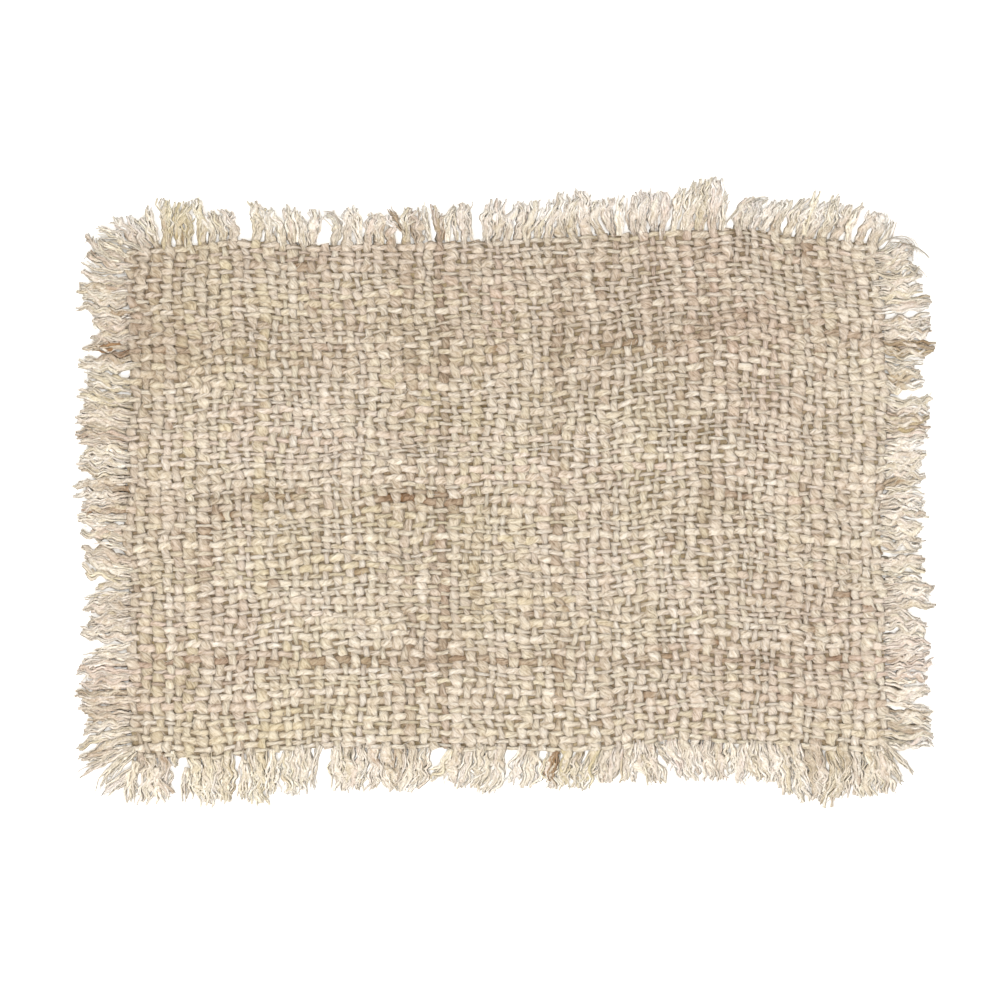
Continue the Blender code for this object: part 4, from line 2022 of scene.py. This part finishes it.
        return Tubes(
            centres=centres,
            half_widths=half_widths,
            half_heights=half_heights,
            rolls=rng.uniform(-self.wisp_roll, self.wisp_roll, (count, 1)) + np.zeros(shape),
            tone=tone + self.wisp_brightening,
            hue=hue,
            bark=bark,
            sides=self.wisp_sides,
            lumps=lumps_of(rng, shape, self.wisp_sides, self.lumpiness),
            bake_columns=3,
            twist_length=self.wisp_twist,
            painted_flank_shade=self.wisp_shade * self.habit.shade,
        )

    def matting(self, rng: np.random.Generator, sway: Array) -> Tubes:
        """The flat band of short matted fibre under every strand, which closes the gaps near the weave and is
        darkened as painted shade between the strands.

        Args:
            rng: Where the random values come from.
            sway: How far the whole strand is carried aside.

        Returns:
            A tube for each strand.
        """
        steps = self.steps
        shape = (self.count(), self.sections)
        reach = self.habit.mat_reach * rng.uniform(*self.mat_lengths, (shape[0], 1))
        shares = reach * between(-self.overlap, 1.0, steps)
        centres = self.line(shares) + self.carried(shares, sway)[..., None] * self.aside()
        centres[..., 2] = self.mat_height
        half_widths = self.habit.mat_half_width * (1 + self.mat_swelling.drawn(rng, shape))
        half_widths = half_widths * (1 - self.mat_taper * self.late(self.mat_taper_length))
        return Tubes(
            centres=centres,
            half_widths=np.maximum(half_widths, self.thinnest_mat),
            half_heights=np.full(shape, self.mat_half_height),
            rolls=np.zeros(shape),
            # The mat's darker tone and bark are painted shade between the strands.
            tone=self.mat_tone + self.mat_mottle.drawn(rng, shape),
            hue=self.mat_hue.drawn(rng, shape),
            bark=np.full(shape, self.habit.mat_shade),
            sides=self.wisp_sides,
            bake_columns=3,
        )

    def hair_paths(self, rng: np.random.Generator) -> Array:
        """The paths of one hair from each strand, leaving it at any place and heading outwards.

        Args:
            rng: Where the random values come from.

        Returns:
            The points, with a row for each hair.
        """
        count = self.count()
        steps = np.linspace(0.0, 1.0, self.hair_sections)[None, :]
        start_share = rng.uniform(*self.hair_starts, (count, 1)) ** self.hair_start_power
        start = self.line(start_share)[:, 0]
        start += (rng.uniform(-1, 1, (count, 1)) * self.habit.spread * start_share) * self.aside()
        swing = rng.normal(0.0, self.hair_swing, (count, 1))
        length = rng.uniform(*self.hair_lengths, (count, 1)) * MM
        curl = rng.normal(0.0, self.hair_curl, (count, 1))
        angle = swing + curl * steps
        step_length = length / (self.hair_sections - 1)
        out = running_sum(np.cos(angle)[:, 1:]) * step_length
        side = running_sum(np.sin(angle)[:, 1:]) * step_length
        room = (self.hair_limit - start_share) * self.strands.reach[:, None] + self.hair_overreach
        path = start[:, None] + side[..., None] * self.aside()
        path[..., :2] += np.minimum(out, room)[..., None] * self.side.outwards()
        rise = rng.uniform(*self.hair_rises, (count, 1)) * MM * (self.hair_root_rise + steps)
        path[..., 2] = np.maximum(self.rest_height + rise, self.lowest_hair)
        return path

    def hairs(self, rng: np.random.Generator) -> Tubes:
        """Single fibres that stand away from the strands, most of them near the tips.

        Args:
            rng: Where the random values come from.

        Returns:
            A tube for each hair.
        """
        paths = np.concatenate([self.hair_paths(rng) for _ in range(self.hairs_per_strand)])
        shape = paths.shape[:2]
        steps = np.linspace(0.0, 1.0, self.hair_sections)[None, :]
        half_widths = rng.uniform(*self.hair_half_widths, (shape[0], 1)) * MM * (1 - self.hair_taper * steps)
        tone = np.clip(rng.normal(*self.hair_tone, (shape[0], 1)), self.darkest_hair, 1.0)
        return Tubes(
            centres=paths,
            half_widths=half_widths,
            half_heights=half_widths,
            rolls=np.zeros(shape),
            tone=tone + np.zeros(shape),
            hue=rng.normal(*self.hair_hue, (shape[0], 1)).clip(-1, 1) + np.zeros(shape),
            bark=np.zeros(shape),
            sides=self.wisp_sides,
            bake_columns=8,
        )

    def stray_tubes(self, rng: np.random.Generator) -> Tubes:
        """The yarn ends that lie apart from the locks, each on a smooth curve through its three points.

        Args:
            rng: Where the random values come from.

        Returns:
            A tube for each wisp of each stray.
        """
        rows = np.repeat(np.array(self.strays), self.wisps_per_stray, axis=0)
        count = len(rows)
        steps = self.steps
        root, middle, tip = (rows[:, None, start : start + 2] * MM for start in (0, 2, 4))
        handle = 2 * middle - (root + tip) / 2
        way = steps[..., None]
        plane = root * (1 - way) ** 2 + 2 * handle * way * (1 - way) + tip * way**2
        shape = plane.shape[:2]
        forward = np.gradient(plane, axis=1)
        forward /= np.linalg.norm(forward, axis=-1, keepdims=True)
        normal = np.stack((-forward[..., 1], forward[..., 0]), axis=-1)
        bundle = rows[:, 6:7] * MM
        offset = rng.uniform(-self.stray_offset, self.stray_offset, (count, 1)) * bundle
        offset = offset * between(self.stray_root_share, 1.0, eased(steps * self.stray_pace))
        curl = np.minimum(self.stray_curl_share * bundle, self.habit.curl)
        offset = offset + curl * self.stray_curl.drawn(rng, shape) * eased(steps * self.freeing_pace)
        plane = root + (plane - root) * rng.uniform(*self.stray_lengths, (count, 1, 1))
        plane = plane + offset[..., None] * normal
        taper = 1 - self.stray_taper * self.late(self.stray_taper_length)
        half_widths = np.clip(rng.uniform(*self.stray_girths, (count, 1)) * bundle, *self.stray_half_widths)
        half_widths = half_widths * taper * (1 + self.stray_swelling.drawn(rng, shape))
        half_widths = np.maximum(half_widths, self.thinnest_stray)
        height = between(*self.stray_heights, np.broadcast_to(eased(steps * self.freeing_pace), shape))
        height = height + self.stray_rise * rng.standard_normal((count, 1))
        height = np.maximum(height + self.stray_bobbing.drawn(rng, shape), half_widths)
        tone = between(self.stray_root_tone, self.habit.tip_tone, steps)
        return Tubes(
            centres=np.concatenate((plane, height[..., None]), axis=-1),
            half_widths=half_widths,
            half_heights=self.stray_flatness * half_widths,
            rolls=np.zeros(shape),
            tone=tone + self.stray_mottle.drawn(rng, shape),
            hue=self.stray_hue + self.hue_spread * rng.standard_normal((count, 1)) + np.zeros(shape),
            bark=np.broadcast_to(rows[:, 7:8], shape),
            sides=self.wisp_sides,
            lumps=lumps_of(rng, shape, self.wisp_sides, self.lumpiness),
            twist_length=self.ply_twist,
            painted_flank_shade=self.stray_shade,
        )

    def build(self) -> bpy.types.Object:
        """Builds the fringe as one piece in place of its solid.

        Returns:
            The new object.
        """
        rng = np.random.default_rng(self.seed)
        sway = self.sway(rng)
        bundles = [self.ply(rng, number, sway) for number in range(len(self.ply_lengths))]
        bundles += [self.wisp(rng, sway) for _ in range(self.habit.wisps)]
        bundles.append(self.matting(rng, sway))
        bundles.append(self.stray_tubes(rng))
        bundles.append(self.hairs(rng))
        piece = tube_piece("yarn_ends_" + self.side.name, bundles, FRINGE_FINISH.material())
        settle(piece, FRINGE_FINISH.slot, "fringe_" + self.side.name)
        return piece


@dataclass
class LooseFibres:
    """Fibres that have worked out of the yarns and lie over the face of the cloth.

    Lengths, arches and half widths are ranges in millimetres, and roots and margins are shares of the field.
    """

    count: int = 1100
    sections: int = 5
    sides: int = 3
    seed: int = 71
    curl: float = 0.9
    lengths: tuple[float, float] = (3.0, 11.0)
    roots: tuple[float, float] = (0.01, 0.99)
    margins: tuple[float, float] = (0.002, 0.998)
    arches: tuple[float, float] = (0.0, 0.9)
    height: float = 2.45 * MM
    half_widths: tuple[float, float] = (0.10, 0.19)
    taper: float = 0.5
    tone: tuple[float, float] = (0.66, 0.14)
    darkest: float = 0.2
    hue: tuple[float, float] = (0.1, 0.3)

    def build(self) -> bpy.types.Object:
        """Builds all the fibres as one piece.

        Returns:
            The new object.
        """
        rng = np.random.default_rng(self.seed)
        steps = np.linspace(0.0, 1.0, self.sections)[None, :]
        heading = rng.uniform(0, 2 * math.pi, (self.count, 1))
        angle = heading + rng.normal(0.0, self.curl, (self.count, 1)) * steps
        length = rng.uniform(*self.lengths, (self.count, 1)) * MM
        step_length = length / (self.sections - 1)
        x = np.cumsum(np.cos(angle), axis=1) * step_length
        y = np.cumsum(np.sin(angle), axis=1) * step_length
        across = np.clip(rng.uniform(*self.roots, (self.count, 1)) + x / FIELD_LENGTH, *self.margins)
        up = np.clip(rng.uniform(*self.roots, (self.count, 1)) + y / FIELD_WIDTH, *self.margins)
        arch = np.sin(math.pi * steps) * rng.uniform(*self.arches, (self.count, 1)) * MM
        centres = lay(across, up, self.height + arch)
        shape = centres.shape[:2]
        thinning = 1 - self.taper * np.abs(2 * steps - 1)
        half_widths = rng.uniform(*self.half_widths, (self.count, 1)) * MM * thinning
        tubes = Tubes(
            centres=centres,
            half_widths=half_widths,
            half_heights=half_widths,
            rolls=np.zeros(shape),
            tone=np.clip(rng.normal(*self.tone, (self.count, 1)), self.darkest, 1.0) + np.zeros(shape),
            hue=rng.normal(*self.hue, (self.count, 1)).clip(-1, 1) + np.zeros(shape),
            bark=np.zeros(shape),
            sides=self.sides,
            bake_columns=40,
        )
        piece = tube_piece("loose_fibres", [tubes], CLOTH_FINISH.material())
        settle(piece, CLOTH_FINISH.slot)
        return piece


@dataclass(frozen=True)
class Lamp:
    """One soft studio lamp: where it hangs, how wide it is, and how bright."""

    name: str
    place: tuple[float, float, float]
    width: float
    watts: float
    colour: tuple[float, float, float]

    def build(self) -> None:
        """Hangs the lamp and points it at the middle of the mat."""
        light = bpy.data.lights.new(self.name, "AREA")
        light.shape = "DISK"
        light.size = self.width
        light.energy = self.watts
        light.color = self.colour
        lamp = bpy.data.objects.new(self.name, light)
        lamp.location = self.place
        lamp.rotation_euler = (-lamp.location).to_track_quat("-Z", "Y").to_euler()
        bpy.context.scene.collection.objects.link(lamp)


@dataclass(frozen=True)
class Studio:
    """The white sweep, the soft light and the camera straight above the mat."""

    view_width: float = 595 * MM
    aim_x: float = -2.7 * MM
    aim_y: float = -5.1 * MM
    camera_height: float = 1.5
    sensor_width: float = 36.0
    floor_width: float = 8.0
    floor_drop: float = 0.05 * MM
    fill: float = 1.0
    fill_colour: Colour = (1.0, 0.998, 0.992, 1.0)
    exposure: float = 0.0

    def build(self) -> None:
        """Builds the floor, the lamps, the sky fill and the camera."""
        self.build_floor()
        Lamp(name="key", place=(-0.6, -1.3, 1.3), width=0.35, watts=24.0, colour=(1.0, 0.99, 0.975)).build()
        Lamp(name="overhead", place=(0.3, 0.4, 1.9), width=1.6, watts=20.0, colour=(1.0, 1.0, 1.0)).build()
        world = bpy.data.worlds.new("soft white room")
        world.use_nodes = True
        background = world.node_tree.nodes["Background"]
        background.inputs["Color"].default_value = self.fill_colour
        background.inputs["Strength"].default_value = self.fill
        scene = bpy.context.scene
        scene.world = world
        scene.view_settings.view_transform = "Standard"
        scene.view_settings.look = "None"
        scene.view_settings.exposure = self.exposure
        self.build_camera()

    def build_floor(self) -> None:
        """Lays the white card under the mat."""
        bpy.ops.mesh.primitive_plane_add(size=self.floor_width, location=(0.0, 0.0, -self.floor_drop))
        floor = bpy.context.object
        floor.name = "floor"
        floor.data.materials.append(PaperFinish().material())
        LOG.info("floor: %.1f m square", self.floor_width)

    def build_camera(self) -> None:
        """Hangs the camera so that the frame spans the photographed width at the surface."""
        data = bpy.data.cameras.new("overhead camera")
        data.sensor_width = self.sensor_width
        data.lens = self.sensor_width * self.camera_height / self.view_width
        camera = bpy.data.objects.new("overhead camera", data)
        camera.location = (self.aim_x, self.aim_y, self.camera_height)
        bpy.context.scene.collection.objects.link(camera)
        bpy.context.scene.camera = camera
        LOG.info("camera: %.1f mm lens at %.2f m", data.lens, self.camera_height)


def main() -> None:
    warp = YarnSet(
        direction=Direction.WARP,
        count=WARP_ENDS,
        crossings=WEFT_PICKS,
        pitch=WARP_PITCH,
        half_width=2.60 * MM,
        half_height=0.88 * MM,
        steps=4,
        streaks=WARP_STREAKS,
        seed=11,
        slant=0.22 * MM,
        twist=-26 * MM,
        crimp=0.62 * MM,
        plateau=0.7,
        mean_tone=0.545,
    )
    weft = YarnSet(
        direction=Direction.WEFT,
        count=WEFT_PICKS,
        crossings=WARP_ENDS,
        pitch=WEFT_PITCH,
        half_width=1.72 * MM,
        half_height=0.83 * MM,
        steps=6,
        streaks=WEFT_STREAKS,
        seed=23,
        slant=0.0,
        twist=-30 * MM,
        crimp=0.54 * MM,
        plateau=0.6,
        mean_tone=0.575,
    )
    weave = Weave(warp, weft)
    ground, yarns = weave.build()
    warp_yarns, weft_yarns = weave.warp_yarns, weave.weft_yarns
    fringes = [
        Fringe(TOP, warp_yarns, HOOKED, TOP_ACCENTS, TOP_STRAYS, seed=31).build(),
        Fringe(BOTTOM, warp_yarns, WOOLLY, BOTTOM_ACCENTS, BOTTOM_STRAYS, seed=37).build(),
        Fringe(LEFT, weft_yarns, WAVY, LEFT_ACCENTS, LEFT_STRAYS, seed=41).build(),
        Fringe(RIGHT, weft_yarns, PALE_WAVY, RIGHT_ACCENTS, RIGHT_STRAYS, seed=43).build(),
    ]
    fibres = LooseFibres().build()
    Studio().build()


if __name__ == "__main__":
    logging.basicConfig(level=logging.INFO, format="%(name)s: %(message)s")
    main()
